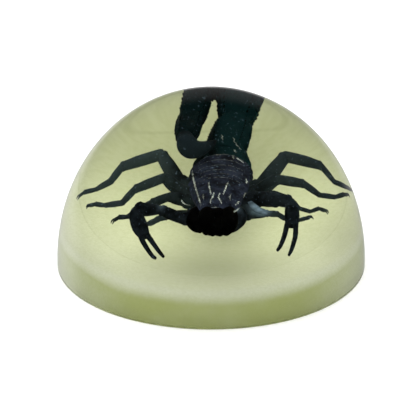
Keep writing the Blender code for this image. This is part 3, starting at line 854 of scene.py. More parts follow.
def add_skin(shape, rings):
    """A closed skin over rings of points, pinched to a pole in the middle of each end."""
    rows = [[shape.verts.new(point) for point in ring] for ring in rings]
    for near, far in zip(rows, rows[1:]):
        for i in range(len(near)):
            j = (i + 1) % len(near)
            shape.faces.new((near[i], near[j], far[j], far[i]))
    for row, ring in ((rows[0][::-1], rings[0]), (rows[-1], rings[-1])):
        pole = shape.verts.new(sum(ring, Vector()) / len(ring))
        for i in range(len(row)):
            shape.faces.new((row[i], row[(i + 1) % len(row)], pole))


def smoothed(mesh, shape, crease):
    """Gives the mesh the shape, its faces pointing out, shaded smooth up to the crease's angle."""
    bmesh.ops.recalc_face_normals(shape, faces=shape.faces)
    shape.to_mesh(mesh)
    shape.free()
    mesh.shade_smooth()
    mesh.set_sharp_from_angle(angle=math.radians(crease))


def finished(name, shape, finish):
    """The shape as an object with its finish."""
    mesh = bpy.data.meshes.new(name)
    smoothed(mesh, shape, SHELL_CREASE)
    mesh.materials.append(finish)
    return placed(name, mesh)


def settle(piece, slot, *nodes):
    """The piece rides on the block and stands for the nodes; the slot is not used."""
    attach(piece, BODY)
    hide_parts(*nodes)


def settle_shell(piece):
    """The piece is a part of the specimen."""
    settle(piece, "black_chitin", "scorpion")


def shell_piece(name, shape, finish, **paints):
    """A part of the specimen, with values painted on it: numbers, or functions of place and normal."""
    made = finished(name, shape, finish)
    for attribute, value in paints.items():
        layer = made.data.attributes.new(attribute, "FLOAT", "POINT")
        for i, vertex in enumerate(made.data.vertices):
            layer.data[i].value = value(vertex.co, vertex.normal) if callable(value) else value
    settle_shell(made)
    return made


def add_grains(name, wearer, detail, size_share, spacing_share, seed):
    """Grains over a part of the specimen, in its own finish."""
    grains = grown(
        name, wearer.data.copy(), "grains", grain_size=detail.grain_size * size_share, seed=seed,
        density=(detail.grain_spacing * spacing_share) ** -2, material=wearer.data.materials[0],
    )
    settle_shell(grains)


def add_beads(name, lines, finish, size, spacing, seed):
    """Beads along lines on the specimen."""
    beads = grown(
        name, line_mesh(name, lines), "beads", bead_size=size, spacing=spacing, seed=seed, material=finish
    )
    settle_shell(beads)


def clamped(value):
    """The value, kept between 0 and 1."""
    return max(0.0, min(1.0, value))


def bell(value, centre, spread):
    """1 at the centre, falling away over the spread."""
    return math.exp(-(((value - centre) / spread) ** 2))


def ridges_at(angle, ridges):
    """What ridges of (angle, spread, height) add at an angle, all in degrees."""
    return sum(
        height * bell((angle - centre + 180) % 360 - 180, 0, spread) for centre, spread, height in ridges
    )


def ring_round(centre, arriving, leaving, width, height, sides, relief=None):
    """A ring round a limb, its height as upright as it can be, mitred where the limb bends."""
    forward = (arriving + leaving).normalized()
    side = forward.cross(Vector((0, 0, 1))).normalized()
    rise = side.cross(forward).normalized()
    turn = leaving - arriving
    bend = turn.normalized()
    stretch = min(MOST_MITRE, 1 / forward.dot(leaving)) - 1 if turn.length > 1e-6 else 0.0
    ring = []
    for i in range(sides):
        angle = 2 * math.pi * (i + 0.5) / sides
        offset = side * (width / 2 * math.cos(angle)) + rise * (height / 2 * math.sin(angle))
        offset *= relief(math.degrees(angle)) if relief else 1.0
        ring.append(centre + offset + bend * (offset.dot(bend) * stretch))
    return ring


def joints_of(rows):
    """(point, thickness) in metres for each row of millimetres."""
    return [(Vector(row[:3]) * MM, row[3] * MM) for row in rows]


def smooth_stations(rows, steps):
    """Stations on a smooth curve through the rows, its thickness smoothed with it."""
    knots = [Vector((*point, thickness)) for point, thickness in joints_of(rows)]
    knots = [knots[0] * 2 - knots[1], *knots, knots[-1] * 2 - knots[-2]]
    stations = []
    for before, start, end, after in zip(knots, knots[1:], knots[2:], knots[3:]):
        for k in range(steps):
            t = k / steps
            spot = (
                start * 2
                + (end - before) * t
                + (before * 2 - start * 5 + end * 4 - after) * t**2
                + (start * 3 - before - end * 3 + after) * t**3
            ) / 2
            stations.append((Vector(spot[:3]), max(spot[3], LEAST_DETAIL)))
    last = knots[-2]
    stations.append((Vector(last[:3]), last[3]))
    return stations


def rings_along(stations, sides, width_share=1.0, height_share=1.0, relief=None):
    """Rings through (point, thickness) stations; the relief takes (share of the way, angle)."""
    points = [point for point, _ in stations]
    ways = [(after - before).normalized() for before, after in zip(points, points[1:])]
    ways = [ways[0], *ways, ways[-1]]
    last = len(stations) - 1
    rings = []
    for i, (point, thickness) in enumerate(stations):
        around = (lambda angle, share=i / last: relief(share, angle)) if relief else None
        size = (thickness * width_share, thickness * height_share)
        rings.append(ring_round(point, ways[i], ways[i + 1], *size, sides, around))
    return rings


def add_limb(shape, rows, steps, sides, **section):
    """A closed smooth skin through rows of (x, y, z, thickness)."""
    add_skin(shape, rings_along(smooth_stations(rows, steps), sides, **section))


def limb_relief(angle):
    """A limb's section: a low ridge above and below, flat cheeks."""
    return 1 + ridges_at(angle, LIMB_RIDGES)


def add_segments(shape, rows, sides, width_share=1.0, height_share=1.0):
    """A jointed limb: every segment a closed skin of its own, seated in the one before."""
    joints = joints_of(rows)
    for (start, thick), (end, thin) in zip(joints, joints[1:]):
        way = (end - start).normalized()
        rings = []
        reached = -1.0
        for share, shift, swell in SEGMENT_FORM:
            local = thick + (thin - thick) * share
            distance = share * (end - start).length + shift * local
            if distance > reached + LEAST_DETAIL or not rings:
                reached = distance
                size = max(local, LEAST_LIMB) * swell
                size = (size * width_share, size * height_share)
                rings.append(ring_round(start + way * distance, way, way, *size, sides, limb_relief))
        add_skin(shape, rings)


def film_near(spots):
    """How much painted sheen of air film lies on a shell near the spots, only where it looks up or
    forwards.
    """

    def film(place, normal):
        value = 0.0
        for x, y, z, radius, strength in spots:
            away = (place - Vector((x, y, z)) * MM).length / (radius * MM)
            value = max(value, strength * math.exp(-(away**2)))
        return value * clamped(FILM_LIFT + normal.z - FILM_FRONT * normal.y)

    return film


def worn_past(share):
    """A limb is paler by this share past its second joint than close to the trunk."""

    def worn(place, normal):
        away = abs(place.x / MM - TRUNK_MIDDLE[0])
        return share * clamped((away - WORN_FROM) / WORN_OVER)

    return worn


def line_mesh(name, lines):
    """A mesh of edges through each list of points."""
    points = []
    edges = []
    for line in lines:
        edges += [(len(points) + k, len(points) + k + 1) for k in range(len(line) - 1)]
        points += line
    mesh = bpy.data.meshes.new(name)
    mesh.from_pydata(points, edges, [])
    return mesh


# ---------------- resin


def shoulder(sizes, steps=40):
    """(radius, height) points over the glow layer's rounded shoulder, from its flat top down."""
    points = []
    for k in range(steps + 1):
        angle = k / steps * math.pi / 2
        radius = sizes.glow_flat + (sizes.glow_wall - sizes.glow_flat) * math.sin(angle)
        height = sizes.glow_foot + (sizes.glow_height - sizes.glow_foot) * math.cos(angle)
        points.append((radius, height))
    return points


def dome_outside(sizes, steps=96):
    """(radius, height) points from the foot up to just below the top."""
    points = [(sizes.radius, sizes.foot_band * k / 4) for k in range(4)]
    rise = sizes.height - sizes.foot_band
    for k in range(steps):
        angle = k / steps * math.pi / 2
        points.append((sizes.radius * math.cos(angle), sizes.foot_band + rise * math.sin(angle)))
    return points


def turned(name, outline, finish, sizes):
    """A solid turned from an outline of (radius, height) points, its faces pointing out."""
    profile = line_mesh(name, [[Vector((radius, 0, height)) for radius, height in outline]])
    made = grown(name, profile, "turned", segments=sizes.segments, weld=0.001 * MM, material=finish)
    shape = bmesh.new()
    shape.from_mesh(made.data)
    smoothed(made.data, shape, DOME_CREASE)
    return made


class RESIN_OT_glow_layer(bpy.types.Operator):
    """Turn the opaque glow layer at the foot of the dome"""

    bl_idname = "resin_block.glow_layer"
    bl_label = "Glow Layer"

    def execute(self, context):
        sizes = context.scene.resin_block_sizes
        finish = glow_finish(context.scene.resin_block_finishes, sizes)
        side = shoulder(sizes)
        wall = side[-1][0]
        under = [(0, 0), (wall * 0.6, 0), (wall, 0), (wall, sizes.glow_foot / 2)]
        top = [(sizes.glow_flat * 0.6, sizes.glow_height), (0, sizes.glow_height)]
        layer = turned("glow_layer", under + side[::-1] + top, finish, sizes)
        settle(layer, "glow_resin", "glow_base")
        return {"FINISHED"}


class RESIN_OT_clear_dome(bpy.types.Operator):
    """Turn the clear dome, bonded to the glow layer below it"""

    bl_idname = "resin_block.clear_dome"
    bl_label = "Clear Dome"

    def execute(self, context):
        sizes = context.scene.resin_block_sizes
        finish = resin_finish(context.scene.resin_block_finishes)
        bond = sizes.bond
        top = sizes.glow_height - bond
        foot = 0.02 * MM
        under = [(0, top), (sizes.glow_flat * 0.5, top)]
        under += [(radius - bond, height - bond) for radius, height in shoulder(sizes)[:-1]]
        under.append((sizes.glow_wall - bond, foot))
        outside = [(radius, max(height, foot)) for radius, height in dome_outside(sizes)]
        dome = turned("clear_dome", under + outside + [(0, sizes.height)], finish, sizes)
        settle(dome, "clear_resin", "resin_dome_lower", "resin_dome_upper")
        return {"FINISHED"}


# ---------------- trunk


def read_rows(rows, y):
    """The values of rows that start with a y, read between them."""
    y = max(rows[0][0], min(rows[-1][0], y))
    low, high = next(pair for pair in zip(rows, rows[1:]) if y <= pair[1][0])
    share = (y - low[0]) / (high[0] - low[0])
    return [a + (b - a) * share for a, b in zip(low[1:], high[1:])]


def bend_between(values, share):
    """Reads a short list of values as a curve from its first to its last."""
    if len(values) == 2:
        return values[0] + (values[1] - values[0]) * share
    first, middle, last = values
    return first * (1 - share) ** 2 + (4 * middle - first - last) * share * (1 - share) + last * share**2


def trunk_row(y):
    """(middle x, half width, edge height, top, underside) of the trunk at y, in millimetres."""
    if y <= TERGITE_ENDS[0]:
        return read_rows(CARAPACE, y)
    share = min(1.0, (y - TERGITE_ENDS[0]) / (TERGITE_ENDS[-1] - TERGITE_ENDS[0]))
    return [
        bend_between(TRUNK_MIDDLE, share),
        bend_between(TRUNK_HALF_WIDTH, share),
        TRUNK_EDGE,
        bend_between(TRUNK_TOP, share),
        bend_between(TRUNK_UNDERSIDE, share),
    ]


def bow_at(y):
    """How far the flanks lie forward of the middle at y, in millimetres."""
    return read_rows(PLATE_BOW, y)[0]


def trunk_ring(y, scale, relief):
    """One ring of the trunk at y; the relief takes (x from the middle, y) and gives millimetres."""
    middle, _, edge, top, underside = trunk_row(y)
    half_width = trunk_row(y - bow_at(y))[1]
    ring = []
    for i in range(TRUNK_SIDES):
        angle = 2 * math.pi * (i + 0.5) / TRUNK_SIDES
        cosine = math.cos(angle)
        across = math.copysign(abs(cosine) ** TRUNK_SQUARENESS, cosine) * half_width * scale
        rise = math.sin(angle) * (top - edge if angle < math.pi else edge - underside) * scale
        if angle < math.pi:
            rise += relief(across, y) * math.sin(angle)
        else:
            rise *= 1 - ridges_at(math.degrees(angle), BELLY_TUCKS)
        forward = bow_at(y) * (across / half_width) ** 2
        ring.append(Vector((middle + across, y - forward, edge + rise)) * MM)
    return ring


def trunk_height(x, y):
    """Height of the trunk's upper side at (x, y), in millimetres."""
    middle, half_width, edge, top, _ = trunk_row(y)
    across = min(1.0, abs(x - middle) / half_width) ** (1 / TRUNK_SQUARENESS)
    return edge + (top - edge) * math.sqrt(max(0.0, 1 - across**2))


def carapace_relief(across, y):
    """Furrows, eye hill and side bulges of the carapace, in millimetres."""
    depth, hollow_y, spread, gap = CROSS_FURROW
    bumps = sum(
        height * bell(across, x, wide) * bell(y, middle_y, long)
        for height, x, wide, middle_y, long in CARAPACE_BUMPS
    )
    return bumps - depth * bell(y, hollow_y, spread) * (1 - bell(across, 0, gap))


def plate_relief(across, y):
    """Three faint keels along the back plates, in millimetres."""
    return sum(height * bell(across, x, spread) for height, x, spread in PLATE_KEELS)


def add_carapace(shape):
    """The shield over the head end, rounded off in front."""
    start = CARAPACE[0][0]
    end = CARAPACE[-1][0]
    rings = []
    for before, size, push in CARAPACE_NOSE:
        ring = trunk_ring(start - before, size, carapace_relief)
        rings.append([point + Vector((0, -push * MM, 0)) for point in ring])
    for k in range(1, CARAPACE_RINGS + 1):
        rings.append(trunk_ring(start + (end - start) * k / CARAPACE_RINGS, 1.0, carapace_relief))
    past, size = CARAPACE_HEM
    rings.append(trunk_ring(end + past, size, carapace_relief))
    add_skin(shape, rings)


def add_back_plates(shape, ends):
    """Rings of back and belly plate, each with its hind edge over the next."""
    for start, end in zip(ends, ends[1:]):
        rings = []
        for share, size in PLATE_FORM:
            rings.append(trunk_ring(start + (end - start) * share, size, plate_relief))
        add_skin(shape, rings)


def add_eye(shape, x, y, size):
    """A domed eye on the carapace."""
    middle, _, edge, top, _ = trunk_row(y)
    height = trunk_height(x, y)
    height += carapace_relief(x - middle, y) * ((height - edge) / (top - edge))
    stations = []
    for k in range(EYE_RINGS + 1):
        angle = math.pi * min(max(k, 0.1), EYE_RINGS - 0.1) / EYE_RINGS
        spot = Vector((x, y - size * math.cos(angle), height - size * EYE_SINK))
        stations.append((spot * MM, 2 * size * MM * math.sin(angle)))
    add_skin(shape, rings_along(stations, EYE_SIDES))


def trunk_grain(place, normal):
    """Grains thicken towards the flanks and the hind edges and leave the belly bare."""
    upward = max(0.0, normal.z)
    if place.y / MM > TERGITE_ENDS[0]:
        return upward * BACK_GRAIN
    middle, more = CARAPACE_GRAIN
    return upward * (middle + more * bell(abs(place.x / MM - TRUNK_MIDDLE[0]), *CARAPACE_GRAIN_SIDE))


class RESIN_OT_trunk(bpy.types.Operator):
    """Build the carapace with its eyes, the back plates and their grains"""

    bl_idname = "resin_block.trunk"
    bl_label = "Trunk"

    def execute(self, context):
        scene = context.scene
        shell = shell_finish(scene.resin_block_finishes, "trunk_shell")
        shape = bmesh.new()
        add_carapace(shape)
        add_back_plates(shape, TERGITE_ENDS[:-2])
        for spot in EYES:
            add_eye(shape, *spot)
        trunk = shell_piece("scorpion_trunk", shape, shell, grain=trunk_grain)
        add_grains("trunk_grains", trunk, scene.resin_block_detail, 1.0, 1.0, seed=3)
        return {"FINISHED"}


# ---------------- mouth


def mouth_relief(share, angle):
    """Round bulges of a mouth claw's joint."""
    return 1 + ridges_at(angle, ((90, 60, MOUTH_BULGE * math.sin(share * MOUTH_BULGES)),))


class RESIN_OT_mouth(bpy.types.Operator):
    """Build the two mouth claws with their teeth, the lip between them and the bases beside them"""

    bl_idname = "resin_block.mouth"
    bl_label = "Mouth"

    def execute(self, context):
        colours = context.scene.resin_block_finishes
        claw_shell = shell_finish(colours, "mouth_shell")
        base_shell = shell_finish(colours, "mouth_base_shell")
        for side, rows in CHELICERAE.items():
            shape = bmesh.new()
            add_limb(shape, rows, steps=6, sides=MOUTH_SIDES, relief=mouth_relief)
            for x, front in MOUTH_TEETH[side]:
                tooth = [(x, front + back, z, thickness) for back, z, thickness in MOUTH_TOOTH_FORM]
                add_limb(shape, tooth, steps=4, sides=MOUTH_TOOTH_SIDES, height_share=1.1)
            shell_piece(f"mouth_claw_{side}", shape, claw_shell)
        for name, rows, finish, paints in (
            ("mouth_lip", MOUTH_LIP, claw_shell, {}),
            ("mouth_base_left", MOUTH_COXAE["left"], claw_shell, {}),
            ("mouth_base_right", MOUTH_COXAE["right"], base_shell, {"film": film_near(MOUTH_FILM)}),
        ):
            shape = bmesh.new()
            add_limb(shape, rows, steps=6, sides=MOUTH_SIDES)
            shell_piece(name, shape, finish, **paints)
        return {"FINISHED"}


# ---------------- pincers


def hand_relief(share, angle):
    """Keels along a hand, strongest in its middle."""
    return 1 + math.sin(math.pi * min(1.0, share * 1.1)) * ridges_at(angle, HAND_RIDGES)


def finger_line(rows, other):
    """Points along the side of a finger that faces the other one."""
    points = []
    for (point, thickness), (across, _) in zip(smooth_stations(rows, 5), smooth_stations(other, 5)):
        points.append(point + (across - point).normalized() * (thickness * TOOTH_LINE))
    return points[4:-3]


def arm_wear(place, normal):
    """A pincer is paler along the outer part of its arm."""
    return worn_past(ARM_WEAR)(place, normal) if place.y > ARM_WEAR_FRONT * MM else 0.0


def hand_grain(place, normal):
    """Grains on arm and hand, fewer below, none along the fingers."""
    return max(0.0, 0.5 + normal.z * 0.5) * (place.y > HAND_GRAIN_FRONT * MM)


class RESIN_OT_pincers(bpy.types.Operator):
    """Build both pincers: arm, hand, fixed and moving finger with their teeth"""

    bl_idname = "resin_block.pincers"
    bl_label = "Pincers"

    def execute(self, context):
        detail = context.scene.resin_block_detail
        shell = shell_finish(context.scene.resin_block_finishes, "pincer_shell")
        film = film_near(ARM_FILM)
        for side, (fixed, moving) in FINGERS.items():
            shape = bmesh.new()
            add_segments(shape, PINCER_ARMS[side], PINCER_SIDES)
            add_limb(
                shape, PINCER_HANDS[side], steps=7, sides=PINCER_SIDES, height_share=HAND_HEIGHT_SHARE,
                relief=hand_relief,
            )
            for rows in (fixed, moving):
                add_limb(shape, rows, steps=7, sides=FINGER_SIDES, width_share=FINGER_WIDTH_SHARE)
            pincer = shell_piece(
                f"pincer_{side}", shape, shell, film=film, worn=arm_wear, grain=hand_grain, hairy=1.0
            )
            lines = [finger_line(fixed, moving), finger_line(moving, fixed)]
            tooth = detail.tooth_size
            add_beads(f"pincer_teeth_{side}", lines, shell, tooth, tooth * TOOTH_GAP, seed=9)
            add_grains(f"pincer_grains_{side}", pincer, detail, 1.1, 1.2, seed=13)
        return {"FINISHED"}


# ---------------- legs


def add_claws(shape, rows):
    """Two curved claws and a short spur at the tip of a leg."""
    before, tip = (Vector(row[:3]) for row in rows[-2:])
    way = (tip - before).normalized()
    side = way.cross(Vector((0, 0, 1))).normalized()
    for spread in (-1, 1):
        claw = []
        for reach, out, rise, thickness in LEG_CLAW:
            spot = tip + way * reach + side * (out * spread) + Vector((0, 0, rise))
            claw.append((*spot, thickness))
        add_limb(shape, claw, steps=3, sides=CLAW_SIDES)
    spur = []
    for reach, rise, thickness in LEG_SPUR:
        spur.append(((tip + way * reach + Vector((0, 0, rise))) * MM, thickness * MM))
    add_skin(shape, rings_along(spur, CLAW_SIDES))


class RESIN_OT_legs(bpy.types.Operator):
    """Build the eight walking legs, each with its seven segments and its claws"""

    bl_idname = "resin_block.legs"
    bl_label = "Legs"

    def execute(self, context):
        shell = shell_finish(context.scene.resin_block_finishes, "leg_shell")
        for name, rows in LEGS.items():
            shape = bmesh.new()
            add_segments(shape, rows, LEG_SIDES, LEG_WIDTH_SHARE, LEG_HEIGHT_SHARE)
            add_claws(shape, rows)
            paints = {"worn": worn_past(LEG_WEAR[name]), "hairy": 1.0}
            if name == "right_1":
                paints["film"] = film_near(LEG_FILM)
            shell_piece(f"leg_{name}", shape, shell, **paints)
        return {"FINISHED"}


# ---------------- tail


def tail_stations():
    """(point, thickness) down the whole tail, as many in each segment as its form has rows."""
    joints = joints_of(TAIL)
    stations = []
    for (start, thick), (end, thin) in zip(joints, joints[1:]):
        for share, swell in TAIL_FORM:
            stations.append((start.lerp(end, share), (thick + (thin - thick) * share) * swell))
    tip, thickness = joints[-1]
    return [*stations, (tip, thickness * TAIL_FORM[0][1])]


def tail_relief(way_share, angle):
    """Keels and a groove along each segment of the tail, none at its waist."""
    station = round(way_share * (len(TAIL) - 1) * len(TAIL_FORM))
    share = TAIL_FORM[station % len(TAIL_FORM)][0]
    return 1 + math.sin(math.pi * share) ** 0.5 * ridges_at(angle, (*TAIL_KEELS, TAIL_GROOVE))


def keel_lines(rings):
    """The crest of each keel, segment by segment, as lines through the rings."""
    per_segment = len(TAIL_FORM)
    lines = []
    for first in range(0, len(rings) - 1, per_segment):
        for centre, _, _ in TAIL_KEELS:
            column = round(centre / 360 * TAIL_SIDES - 0.5) % TAIL_SIDES
            lines.append([ring[column] for ring in rings[first + 1 : first + per_segment]])
    return lines


def tail_grain(place, normal):
    """Grains all over the tail, most on its upper side."""
    least, more = TAIL_GRAIN
    return least + more * max(0.0, normal.z)


def tail_wear(place, normal):
    """The tail is paler to the right of the block's middle."""
    return max(TAIL_LEAST_WEAR, min(1.0, place.x / MM))


def sting_wear(place, normal):
    """The sting is paler towards its front."""
    most, start, over = STING_WEAR
    return most * clamped((start * MM - place.y) / (over * MM))


class RESIN_OT_tail(bpy.types.Operator):
    """Build the last back plates, the keeled tail, its beads and grains, and the sting"""

    bl_idname = "resin_block.tail"
    bl_label = "Tail"

    def execute(self, context):
        colours = context.scene.resin_block_finishes
        detail = context.scene.resin_block_detail
        shell = shell_finish(colours, "tail_shell")
        rings = rings_along(tail_stations(), TAIL_SIDES, height_share=TAIL_HEIGHT_SHARE, relief=tail_relief)
        shape = bmesh.new()
        add_back_plates(shape, TERGITE_ENDS[-3:])
        add_skin(shape, rings)
        tail = shell_piece("scorpion_tail", shape, shell, grain=tail_grain, worn=tail_wear, hairy=0.6)
        keels = keel_lines(rings)
        add_beads("tail_keel_beads", keels, shell, detail.keel_bead, detail.keel_spacing, seed=17)
        add_grains("tail_grains", tail, detail, 1.2, 1.25, seed=19)

        shape = bmesh.new()
        add_limb(shape, STING, steps=7, sides=STING_SIDES)
        finish = shell_finish(colours, "sting_shell")
        shell_piece("scorpion_sting", shape, finish, worn=sting_wear, hairy=1.0)
        return {"FINISHED"}


# ---------------- crests and films


def plate_edge(y, reach=0.86, steps=26):
    """Points (x, y) across the back along a plate's hind edge, in millimetres."""
    middle = trunk_row(y)[0]
    half_width = trunk_row(y - bow_at(y))[1]
    shares = [(2 * k / steps - 1) * reach for k in range(steps + 1)]
    return [(middle + share * half_width, y - bow_at(y) * share**2) for share in shares]


def specimen_surface(scene):
    """Everything built of the specimen so far but its grains and teeth, to lay fine lines on."""
    shape = bmesh.new()
    for thing in scene.objects:
        if thing.name.startswith(CREST_BEARERS):
            shape.from_mesh(thing.data)
    surface = BVHTree.FromBMesh(shape)
    shape.free()
    return surface


def draped_line(surface, path, phase):
    """Points along a path of (x, y), wandering a little, laid on the surface or across a gap in it."""
    line = []
    for (x0, y0), (x1, y1) in zip(path, path[1:]):
        steps = max(1, round(math.hypot(x1 - x0, y1 - y0) / CREST_STEP))
        for k in range(steps):
            wander = CREST_WANDER * math.sin(CREST_WAVE * len(line) + phase)
            x = x0 + (x1 - x0) * k / steps + wander
            y = y0 + (y1 - y0) * k / steps
            spot = Vector((x * MM, y * MM, DOME_HEIGHT))
            found = surface.ray_cast(spot, Vector((0, 0, -1)))[0]
            spot.z = max(found.z if found else 0.0, LEAST_CREST)
            line.append(spot)
    return line


def add_crests(shape, surface, paths, width):
    """A slim rounded rib along each path, now thicker and now thinner."""
    for phase, path in enumerate(paths):
        line = draped_line(surface, path, phase)
        stations = []
        for k, point in enumerate(line):
            taper = math.sin(math.pi * (k + 0.5) / len(line)) ** 0.5
            swell = 1 - CREST_SWELL + CREST_SWELL * math.sin(CREST_PULSE * k + phase)
            stations.append((point, width * MM * taper * swell))
        add_skin(shape, rings_along(stations, CREST_SIDES, height_share=CREST_HEIGHT_SHARE))


class RESIN_OT_crests(bpy.types.Operator):
    """Lay the crests with their painted glints, the plates' lips and the films of air with their painted
    sheen on the specimen
    """

    bl_idname = "resin_block.crests"
    bl_label = "Crests"

    def execute(self, context):
        colours = context.scene.resin_block_finishes
        surface = specimen_surface(context.scene)
        edges = [plate_edge(end) for end in TERGITE_ENDS[:-2]]
        # The crests' pale colour is a painted glint.
        bright = crest_finish("bright_crest", colours.crest)
        lip = crest_finish("plate_lip", colours.plate_lip)
        faint = crest_finish("faint_crest", colours.crest, FAINT_SHARE)
        for name, groups, width, finish in (
            ("trunk_crests", (CRESTS, FILM_EDGE_GLINTS), CREST_WIDTH, bright),
            ("plate_lips", (edges,), LIP_WIDTH, lip),
            ("faint_crests", (FAINT_CRESTS,), LIP_WIDTH, faint),
        ):
            shape = bmesh.new()
            for paths in groups:
                add_crests(shape, surface, paths, width)
            shell_piece(name, shape, finish)

        # The loose film: a thin sheet with a painted sheen.
        shape = bmesh.new()
        add_limb(shape, LOOSE_FILM, steps=6, sides=LOOSE_FILM_SIDES, height_share=LOOSE_FILM_HEIGHT_SHARE)
        shell = shell_finish(colours, "film_shell")
        shell_piece("loose_film", shape, shell, film=film_near(LOOSE_FILM_SPOTS))
        return {"FINISHED"}


# ---------------- bristles


class RESIN_OT_bristles(bpy.types.Operator):
    """Stand bristles on the legs, the pincers, the tail and the sting"""

    bl_idname = "resin_block.bristles"
    bl_label = "Bristles"

    def execute(self, context):
        detail = context.scene.resin_block_detail
        shell = shell_finish(context.scene.resin_block_finishes, "bristle_shell")
        things = [thing for thing in context.scene.objects if thing.type == "MESH"]
        hairy = [thing for thing in things if "hairy" in thing.data.attributes]
        shape = bmesh.new()
        for number, thing in enumerate(sorted(hairy, key=lambda other: other.name)):
            tuft = grown(
                f"tuft_{number}", thing.data.copy(), "bristles", length=detail.bristle_length,
                density=detail.bristle_spacing**-2, seed=number, material=shell,
            )
            shape.from_mesh(tuft.data)
            bpy.data.objects.remove(tuft)
        mesh = bpy.data.meshes.new("scorpion_bristles")
        shape.to_mesh(mesh)
        shape.free()
        mesh.materials.append(shell)
        settle_shell(placed("scorpion_bristles", mesh))
        return {"FINISHED"}


# ---------------- stage


def stage_world(settings):
    """A pale studio all round, with its own dimmer lamps for what the dome mirrors."""
    world = bpy.data.worlds.new("studio")
    world.use_nodes = True
    make = NodeMaker(world.node_tree)
    place = make.add("ShaderNodeTexCoord").outputs["Generated"]
    way = make.add("ShaderNodeSeparateXYZ", Vector=place).outputs
    light = settings.ambient
    for share, strength in (
        (make.math("POWER", make.math("MAXIMUM", way["Z"], 0.0), OVERHEAD_FOCUS), settings.overhead),
        (make.math("MAXIMUM", make.math("MULTIPLY", way["Y"], -1.0), 0.0), settings.front),
        (make.math("MAXIMUM", way["Y"], 0.0), settings.behind),
        (make.math("MAXIMUM", make.math("MULTIPLY", way["X"], -1.0), 0.0), settings.left),
    ):
        light = make.math("ADD", light, make.math("MULTIPLY", share, strength))
    lamp = make.spread(way["Z"], LAMP_UP, (0.0, settings.gloss_overhead))
    wall = make.spread(way["Y"], WALL_BACK, (0.0, settings.gloss_behind))
    below = make.spread(way["Z"], TABLE_DOWN, (1.0, 0.0))
    beyond = make.spread(way["Y"], TABLE_BACK, (0.0, 1.0))
    lean = make.math("SUBTRACT", settings.gloss_rim, make.math("MULTIPLY", way["X"], settings.gloss_lean))
    rim = make.math("MULTIPLY", make.math("MULTIPLY", below, beyond), make.math("MAXIMUM", lean, 0.0))
    mirrored = settings.gloss
    for glint in (lamp, wall, rim):
        mirrored = make.math("ADD", mirrored, glint)
    ray = make.add("ShaderNodeLightPath").outputs
    off_the_skin = make.math("SUBTRACT", ray["Is Glossy Ray"], ray["Is Transmission Ray"])
    shown = make.add("ShaderNodeMix", Factor=off_the_skin, A=light, B=mirrored).outputs["Result"]
    make.fill(
        world.node_tree.nodes["Background"], Color=(1, 1, 1, 1),
        Strength=make.math("MAXIMUM", shown, ray["Is Camera Ray"]),
    )
    return world


def stage_floor(settings):
    """A wide white floor of matt card, just below the block."""
    shape = bmesh.new()
    bmesh.ops.create_grid(shape, x_segments=1, y_segments=1, size=settings.floor_size / 2)
    bmesh.ops.translate(shape, verts=shape.verts, vec=(0, 0, -FLOOR_DROP))
    finish, make, shader, place = fresh_material("white_card")
    share = make.spread(make.noise(place, CARD_CLOUDS, 3.0), (0.3, 0.7), (0.0, 1.0))
    darker, lighter = ((grey, grey, grey, 1) for grey in CARD_TONES)
    make.fill(
        shader, Base_Color=make.mix(share, darker, lighter), Roughness=0.9, Specular_IOR_Level=0.0
    )
    return finished("studio_floor", shape, finish)


def stage_camera(settings):
    """The camera at the photograph's angle, a long lens framing the block as the photograph does."""
    centre = PHOTO_WIDTH / 2
    across, down = PHOTO_MIDDLE
    data = bpy.data.cameras.new("photo_camera")
    camera = placed("photo_camera", data)
    back = Vector((0, -math.cos(settings.camera_elevation), math.sin(settings.camera_elevation)))
    camera.location = Vector((0, 0, settings.aim_height)) + back * settings.camera_distance
    camera.rotation_euler = (-back).to_track_quat("-Z", "Y").to_euler()
    data.sensor_width = SENSOR_WIDTH
    data.lens = data.sensor_width * settings.focal_pixels * settings.camera_distance / PHOTO_WIDTH
    data.shift_x = (centre - across) / PHOTO_WIDTH
    data.shift_y = (down - centre) / PHOTO_WIDTH
    data.clip_start = NEAREST_SIGHT
    return camera


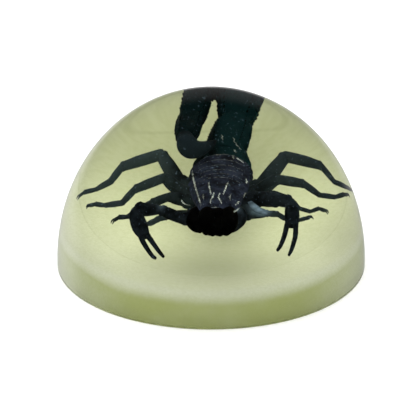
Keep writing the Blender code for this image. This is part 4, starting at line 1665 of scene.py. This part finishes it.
class RESIN_OT_stage(bpy.types.Operator):
    """Set the floor, the studio light and the camera"""

    bl_idname = "resin_block.stage"
    bl_label = "Stage"

    def execute(self, context):
        scene = context.scene
        floor = stage_floor(scene.resin_block_stage)
        floor.visible_glossy = False
        scene.world = stage_world(scene.resin_block_stage)
        scene.camera = stage_camera(scene.resin_block_stage)
        for thing in scene.objects:
            if thing.name.startswith(SHADOWLESS):
                thing.visible_diffuse = False
        scene.view_settings.view_transform = "Standard"
        scene.cycles.max_bounces = MOST_BOUNCES
        scene.cycles.transmission_bounces = MOST_PASSES_THROUGH
        return {"FINISHED"}


OPERATORS = (
    RESIN_OT_glow_layer,
    RESIN_OT_clear_dome,
    RESIN_OT_trunk,
    RESIN_OT_mouth,
    RESIN_OT_pincers,
    RESIN_OT_legs,
    RESIN_OT_tail,
    RESIN_OT_crests,
    RESIN_OT_bristles,
    RESIN_OT_stage,
)


class RESIN_PT_panel(bpy.types.Panel):
    """Sizes, finishes and the pieces to build"""

    bl_idname = "RESIN_PT_panel"
    bl_label = "Resin Block"
    bl_space_type = "VIEW_3D"
    bl_region_type = "UI"
    bl_category = "Resin Block"

    def draw(self, context):
        for group in PROPERTY_GROUPS:
            box = self.layout.box()
            settings = getattr(context.scene, group)
            for name in settings.__annotations__:
                box.prop(settings, name)
        for operator in OPERATORS:
            self.layout.operator(operator.bl_idname)


def register():
    for name, group in PROPERTY_GROUPS.items():
        bpy.utils.register_class(group)
        setattr(bpy.types.Scene, name, bpy.props.PointerProperty(type=group))
    for made in (*OPERATORS, RESIN_PT_panel):
        bpy.utils.register_class(made)


def unregister():
    for made in reversed((*OPERATORS, RESIN_PT_panel)):
        bpy.utils.unregister_class(made)
    for name, group in PROPERTY_GROUPS.items():
        delattr(bpy.types.Scene, name)
        bpy.utils.unregister_class(group)


def main():
    register()
    bpy.ops.resin_block.glow_layer()
    bpy.ops.resin_block.clear_dome()
    bpy.ops.resin_block.trunk()
    bpy.ops.resin_block.mouth()
    bpy.ops.resin_block.pincers()
    bpy.ops.resin_block.legs()
    bpy.ops.resin_block.tail()
    bpy.ops.resin_block.crests()
    bpy.ops.resin_block.bristles()
    bpy.ops.resin_block.stage()


if __name__ == "__main__":
    main()
